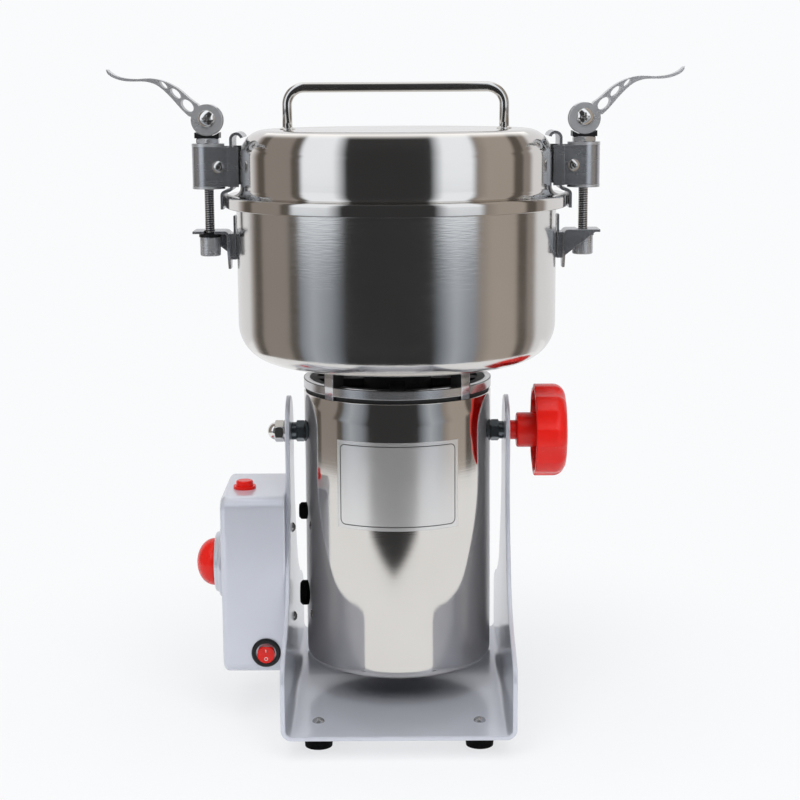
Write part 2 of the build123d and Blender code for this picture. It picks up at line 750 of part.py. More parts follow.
with BuildPart() as brush_holders:
    for side in SIDES.values():
        with BuildSketch(along_x(side * (commutator_dia / 2 + holder_gap), 0, brush_z, side)):
            Rectangle(brush_width + 2 * (slide_fit + holder_wall), brush_height + 2 * (slide_fit + holder_wall))
            Rectangle(brush_width + 2 * slide_fit, brush_height + 2 * slide_fit, mode=Mode.SUBTRACT)
        extrude(amount=holder_length)
        foot_x = side * (commutator_dia / 2 + holder_gap + holder_length / 2)
        with Locations((foot_x, 0, bracket_bottom + bracket_thickness)):
            Box(holder_length / 2, brush_width,
                brush_z - brush_height / 2 - slide_fit - holder_wall - bracket_bottom - bracket_thickness,
                align=BASE)
finish(brush_holders, "brush_holders")

with BuildPart() as armature_core:
    with BuildSketch(Plane.XY.offset(stator_bottom)):
        Circle(armature_dia / 2)
        with PolarLocations(armature_dia / 2 - armature_slot_depth / 2, armature_slot_count):
            Rectangle(armature_slot_depth + armature_slot_width, armature_slot_width, mode=Mode.SUBTRACT)
        Circle(shaft_dia / 2 + seat_gap, mode=Mode.SUBTRACT)
    extrude(amount=stator_height)
finish(armature_core, "armature_core")

with BuildPart() as cooling_fan:
    with BuildSketch(Plane.XY.offset(fan_bottom)):
        Circle(fan_dia / 2)
    extrude(amount=fan_disc)
    with BuildSketch(Plane.XY.offset(fan_bottom + fan_disc)):
        Circle(fan_hub_dia / 2)
        with PolarLocations((fan_dia + fan_hub_dia) / 4 - fan_blade_thickness, fan_blade_count):
            Rectangle((fan_dia - fan_hub_dia) / 2, fan_blade_thickness)
    extrude(amount=fan_height - fan_disc)
    with Locations((0, 0, fan_bottom)):
        Cylinder(shaft_dia / 2 + seat_gap, 4 * fan_height, mode=Mode.SUBTRACT)
finish(cooling_fan, "cooling_fan")

with BuildPart() as motor_shaft:
    with Locations((0, 0, commutator_bottom)):
        Cylinder(shaft_dia / 2, blade_nut_z + blade_nut_height - commutator_bottom, align=BASE)
        Cylinder(shaft_lower_dia / 2, commutator_bottom - bracket_bottom + move_gap, align=TOP)
finish(motor_shaft, "motor_shaft")

# Bowl
with BuildPart() as bowl:
    with Locations((0, 0, bowl_bottom)):
        Cylinder(bowl_radius, bowl_height, align=BASE)
    fillet(bowl.edges().group_by(Axis.Z)[0], bowl_corner)
    offset(amount=-bowl_wall, openings=bowl.faces().sort_by(Axis.Z)[-1])
    with BuildSketch(Plane.XY.offset(bowl_rim)):
        Circle(bowl_radius + bowl_rim_width)
        Circle(bowl_radius - bowl_wall, mode=Mode.SUBTRACT)
    extrude(amount=-bowl_rim_thickness)
    with Locations((0, 0, bowl_bottom)):
        Cylinder(seal_dia / 2 + seat_gap, 4 * bowl_wall, mode=Mode.SUBTRACT)
        with PolarLocations(post_radius, collar_post_count, start_angle=180 / collar_post_count):
            Cylinder(bowl_screw_dia / 2 + thread_fit, 4 * bowl_wall, mode=Mode.SUBTRACT)
finish(bowl, "bowl")

with BuildPart() as bowl_screws:
    with Locations((0, 0, bowl_floor)):
        with PolarLocations(post_radius, collar_post_count, start_angle=180 / collar_post_count):
            Cylinder(bowl_screw_head_dia / 2, bowl_screw_head_height, align=BASE)
            Cylinder(bowl_screw_dia / 2, bowl_screw_length, align=TOP)
    fillet(bowl_screws.edges().group_by(Axis.Z)[-1], bowl_screw_head_height * head_round_share)
finish(bowl_screws, "bowl_screws")

with BuildPart() as shaft_seal:
    with Locations((0, 0, bowl_floor)):
        Cylinder(seal_flange_dia / 2, seal_flange_height, align=BASE)
        Cylinder(seal_dia / 2, collar_upper_slot, align=TOP)
    fillet(shaft_seal.edges().group_by(Axis.Z)[-1], seal_flange_height / 2)
    with Locations((0, 0, bowl_floor)):
        Cylinder(shaft_dia / 2 + run_fit, 4 * collar_upper_slot, mode=Mode.SUBTRACT)
finish(shaft_seal, "shaft_seal")

# Blades
with BuildPart() as blade_spacers:
    for bottom, height in ((seal_top + move_gap, spacer_lower_height),
                           (blade_lower_z + blade_thickness, spacer_upper_height)):
        with Locations((0, 0, bottom)):
            Cylinder(spacer_dia / 2, height, align=BASE)
            Cylinder(shaft_dia / 2 + seat_gap, 3 * height, mode=Mode.SUBTRACT)
finish(blade_spacers, "blade_spacers")


def blade_points(reach, way):
    """One half of a blade: it narrows from the hub to a skewed tip."""
    half = blade_width / 2
    points = ((-half, 0), (half, 0), (half, reach * blade_bend_share),
              (half * blade_tip_width_share, reach), (-half, reach * blade_heel_share))
    return [(way * x, way * y) for x, y in points]


with BuildPart() as lower_blade:
    with BuildSketch(Plane.XY.offset(blade_lower_z)):
        for way in (-1, 1):
            with BuildLine():
                Polyline(*blade_points(blade_lower_reach, way), close=True)
            make_face()
        Circle(spacer_dia / 2)
        Circle(shaft_dia / 2 + seat_gap, mode=Mode.SUBTRACT)
    extrude(amount=blade_thickness)
    cutting = lower_blade.faces().sort_by(Axis.Z)[-1].outer_wire().edges().filter_by(Axis.Y)
    chamfer(cutting, blade_thickness * head_round_share, blade_bevel)
finish(lower_blade, "lower_blade")

with BuildPart() as upper_blade:
    bend_x = blade_upper_reach * blade_bend_share
    with BuildSketch(Plane.XZ):
        with BuildLine():
            FilletPolyline((-blade_upper_reach, blade_upper_z + blade_thickness / 2 + blade_tip_rise),
                           (-bend_x, blade_upper_z + blade_thickness / 2),
                           (bend_x, blade_upper_z + blade_thickness / 2),
                           (blade_upper_reach, blade_upper_z + blade_thickness / 2 + blade_tip_rise),
                           radius=2 * blade_thickness)
        trace(line_width=blade_thickness)
    extrude(amount=blade_width / 2, both=True)
    with Locations((0, 0, blade_upper_z)):
        Cylinder(shaft_dia / 2 + seat_gap, 4 * blade_thickness, mode=Mode.SUBTRACT)
finish(upper_blade, "upper_blade")

with BuildPart() as blade_nut:
    with BuildSketch(Plane.XY.offset(blade_nut_z)):
        RegularPolygon(blade_nut_flats / 2, 6, major_radius=False)
    extrude(amount=blade_nut_height)
    with Locations((0, 0, blade_nut_z + blade_nut_height)):
        Cylinder(blade_nut_flats / 2, blade_nut_dome, align=BASE)
    fillet(blade_nut.edges().group_by(Axis.Z)[-1], blade_nut_dome * dome_round_share)
    with Locations((0, 0, blade_nut_z)):
        Cylinder(shaft_dia / 2 + seat_gap, blade_nut_height + seat_gap, align=BASE, mode=Mode.SUBTRACT)
finish(blade_nut, "blade_nut")

# Lid
with BuildPart() as lid_shell:
    with Locations((0, 0, lid_skirt_bottom)):
        Cylinder(lid_flange_radius, lid_flange_height, align=BASE)
        Cylinder(lid_radius, lid_top - lid_skirt_bottom, align=BASE)
    fillet(lid_shell.edges().group_by(Axis.Z)[-1], lid_shoulder)
    inner_corner = [e for e in lid_shell.edges().filter_by(GeomType.CIRCLE)
                    if abs(e.radius - lid_radius) < seat_gap and abs(e.center().Z - lid_flange_top) < seat_gap]
    fillet(inner_corner, lid_fillet)
    fillet(lid_shell.edges().filter_by(GeomType.CIRCLE).sort_by(lambda e: e.radius)[-2:].sort_by(Axis.Z)[-1],
           lid_flange_wall * head_round_share)
    with BuildSketch(Plane.XZ) as hollow:
        inner_radius = lid_radius - lid_wall
        skirt_inner = lid_flange_radius - lid_flange_wall
        with BuildLine():
            Polyline((0, lid_skirt_bottom - overrun), (skirt_inner, lid_skirt_bottom - overrun),
                     (skirt_inner, lid_under), (inner_radius, lid_under), (inner_radius, lid_top - lid_wall),
                     (0, lid_top - lid_wall), close=True)
        make_face()
        fillet(corner(hollow, inner_radius, lid_top - lid_wall), lid_shoulder - lid_wall)
    revolve(axis=Axis.Z, mode=Mode.SUBTRACT)
finish(lid_shell, "lid_shell")

with BuildPart() as lid_gasket:
    gasket_outer = lid_flange_radius - lid_flange_wall - slide_fit
    with BuildSketch(Plane.XY.offset(bowl_rim + seat_gap)):
        Circle(gasket_outer)
        Circle(gasket_outer - gasket_width, mode=Mode.SUBTRACT)
    extrude(amount=gasket_height)
finish(lid_gasket, "lid_gasket")

with BuildPart() as lid_handle:
    leg_x = handle_width / 2 - handle_rod_dia / 2
    grip_z = lid_top + handle_height - handle_rod_dia / 2
    with BuildLine() as bent_rod:
        FilletPolyline((-leg_x, 0, lid_top), (-leg_x, 0, grip_z), (leg_x, 0, grip_z), (leg_x, 0, lid_top),
                       radius=handle_corner)
    with BuildSketch(Plane((-leg_x, 0, lid_top), z_dir=(0, 0, 1))):
        Circle(handle_rod_dia / 2)
    sweep()
    with Locations((-leg_x, 0, lid_top), (leg_x, 0, lid_top)):
        Cone(handle_foot_dia / 2, handle_rod_dia / 2, handle_foot_height, align=BASE)
finish(lid_handle, "lid_handle")

# Lid brackets: bent channel strips that hook over the lid's flange
web_x = strap_flange_x - strap_thickness / 2 - lid_bracket_plate / 2 - seat_gap
bracket_half = strap_radius + strap_flange_width - strap_thickness
hook_x = lid_flange_radius + move_gap + lid_bracket_plate / 2
with BuildPart() as lid_brackets:
    for side in SIDES.values():
        with BuildSketch(Plane.XZ):
            flare_top = lid_flange_top + lid_bracket_flare
            with BuildLine():
                strip = FilletPolyline(
                    (side * hook_x, lid_flange_top - lid_bracket_hook_drop),
                    (side * hook_x, lid_flange_top + lid_bracket_plate),
                    (side * web_x, flare_top), (side * web_x, sleeve_top + lid_bracket_rise),
                    radius=lid_bracket_bend)
                JernArc(start=strip @ 1, tangent=strip % 1, radius=lid_bracket_curl_radius,
                        arc_size=side * lid_bracket_curl_turn)
            trace(line_width=lid_bracket_plate)
        extrude(amount=bracket_half, both=True)
        for way in (-1, 1):
            with Locations((side * web_x, way * (bracket_half - lid_bracket_plate / 2), sleeve_bottom + sleeve_flange)):
                Box(web_x - lid_radius, lid_bracket_plate, sleeve_height - 2 * sleeve_flange,
                    align=(Align.MAX if side > 0 else Align.MIN, Align.CENTER, Align.MIN))
    with Locations((0, 0, lid_under)):
        Cylinder(lid_radius + seat_gap, lid_top - lid_shoulder - lid_under, align=BASE, mode=Mode.SUBTRACT)
finish(lid_brackets, "lid_brackets")

# Clamp straps: a sheet wrapped round each sleeve, with its ends turned out against the lid bracket
with BuildPart() as clamp_straps:
    for side in SIDES.values():
        with BuildSketch(Plane.XY.offset(sleeve_bottom + sleeve_flange)):
            inner = sleeve_dia / 2 + seat_gap
            length = clamp_x - strap_flange_x + strap_thickness / 2
            cheek = (side * (clamp_x - length / 2), 0)
            with Locations((side * clamp_x, 0)):
                Circle(strap_radius)
            with Locations(cheek):
                Rectangle(length, 2 * strap_radius)
            with Locations((side * strap_flange_x, 0)):
                Rectangle(strap_thickness, 2 * bracket_half)
            with Locations((side * clamp_x, 0)):
                Circle(inner, mode=Mode.SUBTRACT)
            with Locations(cheek):
                Rectangle(length, 2 * inner, mode=Mode.SUBTRACT)
        extrude(amount=sleeve_height - 2 * sleeve_flange)
        with Locations(along_y(side * strap_pin_x, 0, strap_pin_height)):
            Cylinder(strap_pin_dia / 2 + thread_fit, 4 * strap_radius, mode=Mode.SUBTRACT)
finish(clamp_straps, "clamp_straps")

with BuildPart() as clamp_sleeves:
    for side in SIDES.values():
        with Locations((side * clamp_x, 0, sleeve_bottom)):
            Cylinder(sleeve_dia / 2, sleeve_height, align=BASE)
            Cylinder(sleeve_flange_dia / 2, sleeve_flange, align=BASE)
        with Locations((side * clamp_x, 0, sleeve_top)):
            Cylinder(sleeve_flange_dia / 2, sleeve_flange, align=TOP)
            Cylinder(rod_dia / 2 + thread_fit, 3 * sleeve_height, mode=Mode.SUBTRACT)
        with Locations(along_y(side * strap_pin_x, 0, strap_pin_height)):
            Cylinder(strap_pin_dia / 2 + thread_fit, 4 * strap_radius, mode=Mode.SUBTRACT)
finish(clamp_sleeves, "clamp_sleeves")

with BuildPart() as strap_pins:
    for side in SIDES.values():
        with Locations(along_y(side * strap_pin_x, 0, strap_pin_height)):
            Cylinder(strap_pin_dia / 2, 2 * strap_radius)
        for way in (-1, 1):
            with Locations(along_y(side * strap_pin_x, way * strap_radius, strap_pin_height, way)):
                Cylinder(strap_pin_head_dia / 2, strap_pin_head_height, align=BASE)
    heads = strap_pins.edges().filter_by(GeomType.CIRCLE).group_by(Axis.Y)
    fillet(heads[0] + heads[-1], strap_pin_head_height * head_round_share)
finish(strap_pins, "strap_pins")

with BuildPart() as lock_nuts:
    for side in SIDES.values():
        with BuildSketch(Plane.XY.offset(sleeve_top)):
            with Locations((side * clamp_x, 0)):
                RegularPolygon(lock_nut_flats / 2, 6, major_radius=False)
                Circle(rod_dia / 2 + thread_fit, mode=Mode.SUBTRACT)
        extrude(amount=lock_nut_height)
finish(lock_nuts, "lock_nuts")

with BuildPart() as cam_seats:
    seat_rise = cam_seat_hollow_radius - sqrt(cam_seat_hollow_radius ** 2 - (cam_seat_width / 2) ** 2)
    for side in SIDES.values():
        with Locations((side * clamp_x, 0, lock_nut_top)):
            Box(cam_seat_width, cam_seat_depth, cam_seat_base + seat_rise, align=BASE)
        with Locations(along_y(side * clamp_x, 0, cam_seat_low + cam_seat_hollow_radius)):
            Cylinder(cam_seat_hollow_radius, 2 * cam_seat_depth, mode=Mode.SUBTRACT)
        with Locations((side * clamp_x, 0, lock_nut_top)):
            Cylinder(rod_dia / 2 + thread_fit, 3 * lock_nut_height, mode=Mode.SUBTRACT)
finish(cam_seats, "cam_seats")

# Bowl brackets: the same part on both sides, turned half a turn, so one gusset is behind
flange_x = bowl_radius + bracket_pad_depth + bracket_plate / 2
with BuildPart() as bowl_brackets:
    for side in SIDES.values():
        with BuildSketch(Plane.XZ):
            with BuildLine():
                FilletPolyline((side * flange_x, bracket_top - bracket_tail),
                               (side * flange_x, bracket_top - bracket_plate / 2),
                               (side * bracket_reach, bracket_top - bracket_plate / 2), radius=bracket_bend)
            trace(line_width=bracket_plate)
        extrude(amount=bracket_width / 2, both=True)
        with BuildSketch(along_x(side * flange_x, 0, bracket_top - bracket_tail, side)):
            for way in (-1, 1):
                with BuildLine():
                    Polyline((way * bracket_tail_width / 2, 0), (way * bracket_width, 0),
                             (way * bracket_width, bracket_tail / 2),
                             (way * bracket_width / 2, bracket_tail / 2), close=True)
                make_face()
        extrude(amount=bracket_plate, both=True, mode=Mode.SUBTRACT)
        with BuildSketch(Plane.XZ.offset(side * bracket_width / 2)):
            gusset_end = flange_x + gusset_reach_share * (bracket_reach - flange_x)
            with BuildLine():
                Polyline((side * flange_x, bracket_under), (side * gusset_end, bracket_under),
                         (side * flange_x, bracket_under - gusset_drop), close=True)
            make_face()
        extrude(amount=-side * gusset_thickness)
        with Locations((side * (bowl_radius + bracket_pad_depth / 2), 0, bracket_under)):
            Box(bracket_pad_depth, bracket_pad_width, bracket_pad_height, align=TOP)
        with Locations((side * (bowl_radius + bracket_strip_thickness), 0, bracket_under)):
            Box(bracket_strip_thickness, bracket_strip_width, bracket_strip_height, align=BASE)
        with BuildSketch(Plane.XY.offset(bracket_under - overrun)):
            Circle(clamp_x + rod_dia / 2 + rod_slot_gap)
            Circle(clamp_x - rod_dia / 2 - rod_slot_gap, mode=Mode.SUBTRACT)
            with BuildSketch(mode=Mode.INTERSECT):
                with Locations((side * clamp_x, side * bracket_width / 2)):
                    Rectangle(bracket_width, bracket_width)
            with Locations((side * clamp_x, 0)):
                Circle(rod_dia / 2 + rod_slot_gap)
        extrude(amount=2 * overrun, mode=Mode.SUBTRACT)
    with Locations((0, 0, bowl_bottom)):
        Cylinder(bowl_radius + seat_gap, bowl_height, align=BASE, mode=Mode.SUBTRACT)
finish(bowl_brackets, "bowl_brackets")


def arm_points(side, shares):
    """Points of the lever's arm, from shares of its reach and rise."""
    return [(side * (clamp_x + u * lever_reach), lever_pivot_z + v * lever_rise) for u, v in shares]


def build_clamp(name, side):
    """The draw rod, its nut and washer, and the cam lever with its screw, on one side."""
    with BuildPart() as draw_rod:
        with Locations((side * clamp_x, 0, rod_nut_bottom + rod_end)):
            Cylinder(rod_dia / 2, lever_pivot_z - rod_nut_bottom - rod_end, align=BASE)
        with Locations(along_y(side * clamp_x, 0, lever_pivot_z)):
            Cylinder(rod_eye_radius, rod_eye_width)
            Cylinder(lever_screw_dia / 2 + run_fit, 2 * rod_eye_width, mode=Mode.SUBTRACT)
    finish(draw_rod, f"{name}_draw_rod")

    with BuildPart() as rod_nut:
        with Locations((side * clamp_x, 0, rod_nut_bottom)):
            Cylinder(rod_nut_dia / 2, rod_nut_height, align=BASE)
        fillet(rod_nut.edges().group_by(Axis.Z)[0], rod_nut_round)
        with Locations((side * clamp_x, 0, rod_nut_bottom + rod_end - seat_gap)):
            Cylinder(rod_dia / 2 + seat_gap, rod_nut_height, align=BASE, mode=Mode.SUBTRACT)
    finish(rod_nut, f"{name}_rod_nut")

    with BuildPart() as seat_washer:
        with Locations((side * clamp_x, 0, rod_nut_top)):
            Cylinder(seat_washer_dia / 2, seat_washer_height, align=BASE)
            Cylinder(rod_dia / 2 + seat_gap, 3 * seat_washer_height, mode=Mode.SUBTRACT)
    finish(seat_washer, f"{name}_seat_washer")

    with BuildPart() as lever:
        with BuildSketch(Plane.XZ):
            with BuildLine():
                root, tip = arm_points(side, (arm_root_share, arm_tip_share))
                upper = Spline(*arm_points(side, arm_top_shares), tip)
                lower = Spline(tip, *arm_points(side, arm_bottom_shares))
                Polyline(lower @ 1, root, upper @ 0)
            make_face()
            with Locations((side * clamp_x, lever_pivot_z - lever_eccentric)):
                Circle(lever_head_radius)
            for u, v, length, width in window_shares:
                with Locations(arm_points(side, ((u, v),))[0]):
                    Ellipse(length * lever_head_radius / 2, width * lever_head_radius / 2,
                            rotation=side * window_turn, mode=Mode.SUBTRACT)
        extrude(amount=lever_width / 2, both=True)
        room = rod_eye_radius + lever_eye_room
        span = 2 * lever_head_radius
        with Locations((side * (clamp_x + room), 0, lever_pivot_z + room)):
            Box(span, rod_eye_width + 2 * move_gap, span,
                align=(Align.MIN if side < 0 else Align.MAX, Align.CENTER, Align.MAX), mode=Mode.SUBTRACT)
        with Locations(along_y(side * clamp_x, 0, lever_pivot_z)):
            Cylinder(lever_screw_dia / 2 + seat_gap, 2 * lever_width, mode=Mode.SUBTRACT)
    finish(lever, f"{name}_lever")

    with BuildPart() as lever_screw:
        with Locations(along_y(side * clamp_x, 0, lever_pivot_z)):
            Cylinder(lever_screw_dia / 2, lever_width)
        for way, dia in ((-1, lever_screw_head_dia), (1, lever_tail_head_dia)):
            with Locations(along_y(side * clamp_x, way * lever_width / 2, lever_pivot_z, way)):
                Cylinder(dia / 2, lever_screw_head_height, align=BASE)
        heads = lever_screw.edges().filter_by(GeomType.CIRCLE).group_by(Axis.Y)
        fillet(heads[0] + heads[-1], lever_screw_head_height * head_round_share)
    finish(lever_screw, f"{name}_lever_screw")


for clamp_name, clamp_side in SIDES.items():
    build_clamp(clamp_name, clamp_side)

# Tilt pivot
with BuildPart() as pivot_nuts:
    for side in SIDES.values():
        with BuildSketch(along_x(side * (housing_radius + seat_gap), 0, pivot_height, side)):
            RegularPolygon(pivot_nut_flats / 2, 6, major_radius=False)
            Circle(pivot_dia / 2 + thread_fit, mode=Mode.SUBTRACT)
        extrude(amount=pivot_nut_height)
finish(pivot_nuts, "pivot_nuts")

bush_start = housing_radius + seat_gap + pivot_nut_height
with BuildPart() as pivot_bushes:
    for side in SIDES.values():
        with BuildSketch(along_x(side * bush_start, 0, pivot_height, side)):
            Circle(pivot_bush_dia / 2)
            Circle(pivot_dia / 2 + thread_fit, mode=Mode.SUBTRACT)
        extrude(amount=stand_half - bush_start - slide_fit)
finish(pivot_bushes, "pivot_bushes")

dome_start = stand_outer + slide_fit + washer_thickness
with BuildPart() as pivot_stud:
    with Locations(along_x(-housing_radius + pivot_stud_inset, 0, pivot_height, -1)):
        Cylinder(pivot_dia / 2, dome_start + dome_nut_height - dome_nut_wall - housing_radius + pivot_stud_inset
                 - 2 * dome_nut_wall, align=BASE)
finish(pivot_stud, "pivot_stud")

with BuildPart() as pivot_washer:
    with BuildSketch(along_x(-stand_outer - slide_fit, 0, pivot_height, -1)):
        Circle(washer_dia / 2)
        Circle(pivot_dia / 2 + thread_fit, mode=Mode.SUBTRACT)
    extrude(amount=washer_thickness)
finish(pivot_washer, "pivot_washer")

with BuildPart() as dome_nut:
    with BuildSketch(along_x(-dome_start, 0, pivot_height, -1)):
        RegularPolygon(dome_nut_flats / 2, 6, major_radius=False)
    extrude(amount=dome_nut_hex_height)
    with Locations(along_x(-dome_start, 0, pivot_height, -1)):
        Cylinder(dome_nut_flats / 2 * dome_round_share, dome_nut_height, align=BASE)
    fillet(dome_nut.edges().filter_by(GeomType.CIRCLE).group_by(Axis.X)[0],
           (dome_nut_height - dome_nut_hex_height) * dome_round_share)
    with Locations(along_x(-dome_start, 0, pivot_height, -1)):
        Cylinder(pivot_dia / 2 + thread_fit, dome_nut_height - 2 * dome_nut_wall, align=BASE, mode=Mode.SUBTRACT)
finish(dome_nut, "dome_nut")

# Lock knob: a hollow lobed cup whose open side faces the upright
neck_start = stand_outer + slide_fit
hub_start = neck_start + knob_neck_length
cup_start = hub_start + knob_hub_length
cup_end = cup_start + knob_depth
half_pitch = 180 / knob_lobe_count


def lobed_outline(inset):
    """A circle with shallow flutes round it, drawn in by an inset."""
    Circle(knob_dia / 2 - inset)
    with PolarLocations(knob_dia / 2 + knob_flute_radius - knob_flute_depth, knob_lobe_count, half_pitch):
        Circle(knob_flute_radius + inset, mode=Mode.SUBTRACT)


with BuildPart() as lock_knob:
    with BuildSketch(along_x(cup_start, 0, pivot_height)) as lobes:
        lobed_outline(0)
        fillet(lobes.vertices(), knob_flute_radius / 3)
    extrude(amount=knob_depth)
    fillet(lock_knob.faces().sort_by(Axis.X)[-1].edges(), knob_round)
    with BuildSketch(along_x(cup_start, 0, pivot_height)):
        lobed_outline(knob_wall)
    extrude(amount=knob_depth - knob_face, mode=Mode.SUBTRACT)
    with Locations(along_x(hub_start, 0, pivot_height)):
        Cylinder(knob_hub_dia / 2, cup_end - knob_face / 2 - hub_start, align=BASE)
    with Locations(along_x(neck_start, 0, pivot_height)):
        Cylinder(knob_neck_dia / 2, knob_neck_length, align=BASE)
        Cylinder(pivot_dia / 2 + seat_gap, knob_neck_length + knob_stud_cover + seat_gap, align=BASE,
                 mode=Mode.SUBTRACT)
finish(lock_knob, "lock_knob")

with BuildPart() as lock_stud:
    stud_start = housing_radius - pivot_stud_inset
    with Locations(along_x(stud_start, 0, pivot_height)):
        Cylinder(pivot_dia / 2, hub_start + knob_stud_cover - stud_start, align=BASE)
finish(lock_stud, "lock_stud")
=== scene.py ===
# %% [markdown]
# # A tilting spice grinder in a light tent
# The construction comes packed as a frame: every piece at its real size, in metres, with its joints. This
# lesson dresses that frame. Large polished pieces are worked out again as smooth surfaces, small hardware
# gets the broken edges that catch the light, and each finish is built from what the real material is.

# %% Load the frame
import json

import bmesh
import bpy
import numpy as np
from mathutils import Matrix, Vector


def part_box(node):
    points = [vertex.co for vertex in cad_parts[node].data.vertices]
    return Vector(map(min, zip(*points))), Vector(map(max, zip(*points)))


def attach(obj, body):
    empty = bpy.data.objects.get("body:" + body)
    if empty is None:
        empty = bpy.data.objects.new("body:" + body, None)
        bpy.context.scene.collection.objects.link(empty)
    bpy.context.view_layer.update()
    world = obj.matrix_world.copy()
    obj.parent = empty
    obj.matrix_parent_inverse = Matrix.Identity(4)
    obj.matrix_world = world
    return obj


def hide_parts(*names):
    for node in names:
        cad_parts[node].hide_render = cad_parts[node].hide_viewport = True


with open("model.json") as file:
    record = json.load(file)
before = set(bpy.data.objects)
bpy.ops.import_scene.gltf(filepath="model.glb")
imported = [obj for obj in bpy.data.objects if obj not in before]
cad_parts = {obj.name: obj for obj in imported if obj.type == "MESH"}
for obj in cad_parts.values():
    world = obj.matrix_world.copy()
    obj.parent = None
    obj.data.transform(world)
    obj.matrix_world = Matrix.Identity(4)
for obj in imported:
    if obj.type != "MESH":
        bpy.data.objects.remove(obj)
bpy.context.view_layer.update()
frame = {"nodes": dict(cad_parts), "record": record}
nodes = frame["nodes"]
scene = bpy.context.scene
MM = 0.001

# %% [markdown]
# ## The camera
# The photograph was taken with a long lens from a little above the lid. The camera matches its height,
# distance and tilt. The small roll is that of a hand-set tripod.

# %% Camera at the photograph's place
camera_place = np.array((1.75, -1138.8, 418.5)) * MM
camera_pitch, camera_roll = 10.34, -0.32
frame_pixels, focal_pixels = 800, 1722
lens = bpy.data.cameras.new("portrait_lens")
lens.sensor_width = 36.0
lens.lens = lens.sensor_width * focal_pixels / frame_pixels
camera = bpy.data.objects.new("portrait_camera", lens)
tilt = Matrix.Rotation(np.radians(90 - camera_pitch), 4, "X")
roll = Matrix.Rotation(np.radians(camera_roll), 4, "Z")
camera.matrix_world = Matrix.Translation(Vector(camera_place)) @ (tilt @ roll)
scene.collection.objects.link(camera)
scene.camera = camera
scene.view_settings.view_transform = "Standard"
print("camera: lens", round(lens.lens, 1), "mm")

# %% [markdown]
# ## Small tools
# One function turns an sRGB hex colour into the linear values that shaders use. One adds a shader node. The
# rest turn arrays of points into meshes: a surface is a grid of points, so its faces follow from its rows
# and columns.


# %% Colours and shader nodes
def linear(code):
    """A hex colour as linear red, green, blue and alpha, by the sRGB curve."""
    srgb = np.array([int(code[i:i + 2], 16) for i in (1, 3, 5)]) / 255
    return (*np.where(srgb <= 0.04045, srgb / 12.92, ((srgb + 0.055) / 1.055) ** 2.4), 1.0)


def add(tree, kind, settings=None, **sockets):
    """Add a node, set its properties, and fill or link its sockets: _3 is socket 3, and a _ is a space."""
    node = tree.nodes.new(kind)
    for name, value in (settings or {}).items():
        setattr(node, name, value)
    for name, value in sockets.items():
        socket = node.inputs[int(name[1:])] if name[1:].isdigit() else node.inputs[name.replace("_", " ")]
        if isinstance(value, bpy.types.NodeSocket):
            tree.links.new(value, socket)
        else:
            socket.default_value = value
    return node


def empty_material(name):
    """A new material whose node tree is still empty."""
    material = bpy.data.materials.new(name)
    material.use_nodes = True
    material.node_tree.nodes.clear()
    return material, material.node_tree


def shaded_material(name):
    """A new material with one principled shader, its node tree and the shader."""
    material, tree = empty_material(name)
    shader = add(tree, "ShaderNodeBsdfPrincipled")
    add(tree, "ShaderNodeOutputMaterial", Surface=shader.outputs[0])
    return material, tree, shader


# %% Grids of points
def quad_faces(rows, columns):
    """Corner numbers of the quads of a grid of points, row by row."""
    first = (np.arange(rows - 1)[:, None] * columns + np.arange(columns - 1)).reshape(-1, 1)
    return first + np.array((0, 1, columns + 1, columns))


def lay_flat(grid):
    """The run along the longest row and the longest column, in metres: the piece's own UV map."""
    across = np.linalg.norm(np.diff(grid, axis=1), axis=2)
    down = np.linalg.norm(np.diff(grid, axis=0), axis=2)
    u = np.append(0, np.cumsum(across[across.sum(axis=1).argmax()]))
    v = np.append(0, np.cumsum(down[:, down.sum(axis=0).argmax()]))
    return np.stack(np.meshgrid(u, v), -1)


def new_mesh(name, grids):
    """One mesh from grids of points in millimetres. Seams and poles are merged and faces turned outwards."""
    grids = [np.asarray(grid) * MM for grid in grids]
    points = np.concatenate([grid.reshape(-1, 3) for grid in grids])
    starts = np.cumsum([0] + [grid.shape[0] * grid.shape[1] for grid in grids[:-1]])
    faces = np.concatenate([quad_faces(*grid.shape[:2]) + start for grid, start in zip(grids, starts)])
    chart = np.concatenate([lay_flat(grid).reshape(-1, 2) for grid in grids])
    mesh = bpy.data.meshes.new(name)
    mesh.from_pydata(points.tolist(), [], faces.tolist())
    mesh.uv_layers.new(name="run").data.foreach_set("uv", chart[faces.reshape(-1)].reshape(-1))
    merge_and_smooth(mesh)
    return mesh


def merge_and_smooth(mesh, flat_angle=None):
    """Merge points that meet, turn the faces outwards and shade them smooth."""
    merge_mm = 0.0005
    work = bmesh.new()
    work.from_mesh(mesh)
    bmesh.ops.remove_doubles(work, verts=work.verts, dist=merge_mm * MM)
    if flat_angle:
        bmesh.ops.dissolve_limit(work, angle_limit=np.radians(flat_angle), verts=work.verts, edges=work.edges)
    bmesh.ops.recalc_face_normals(work, faces=work.faces)
    work.to_mesh(mesh)
    work.free()
    mesh.polygons.foreach_set("use_smooth", np.ones(len(mesh.polygons), bool))


def place_piece(mesh, finish, body, slot, *replaced):
    """Show a mesh as one piece of the grinder that rides on a body and may stand for CAD nodes."""
    mesh.materials.clear()
    mesh.materials.append(finish)
    piece = bpy.data.objects.new(mesh.name, mesh)
    scene.collection.objects.link(piece)
    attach(piece, body)
    if replaced:
        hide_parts(*replaced)
    return piece


# %% [markdown]
# ## Profiles, turned and carried
# Sheet metal has no sharp corners, so a profile is drawn with straight runs and every corner is then
# swapped for an arc. A turned piece carries the profile round an axis, and a bent rod carries a circle
# along a path.


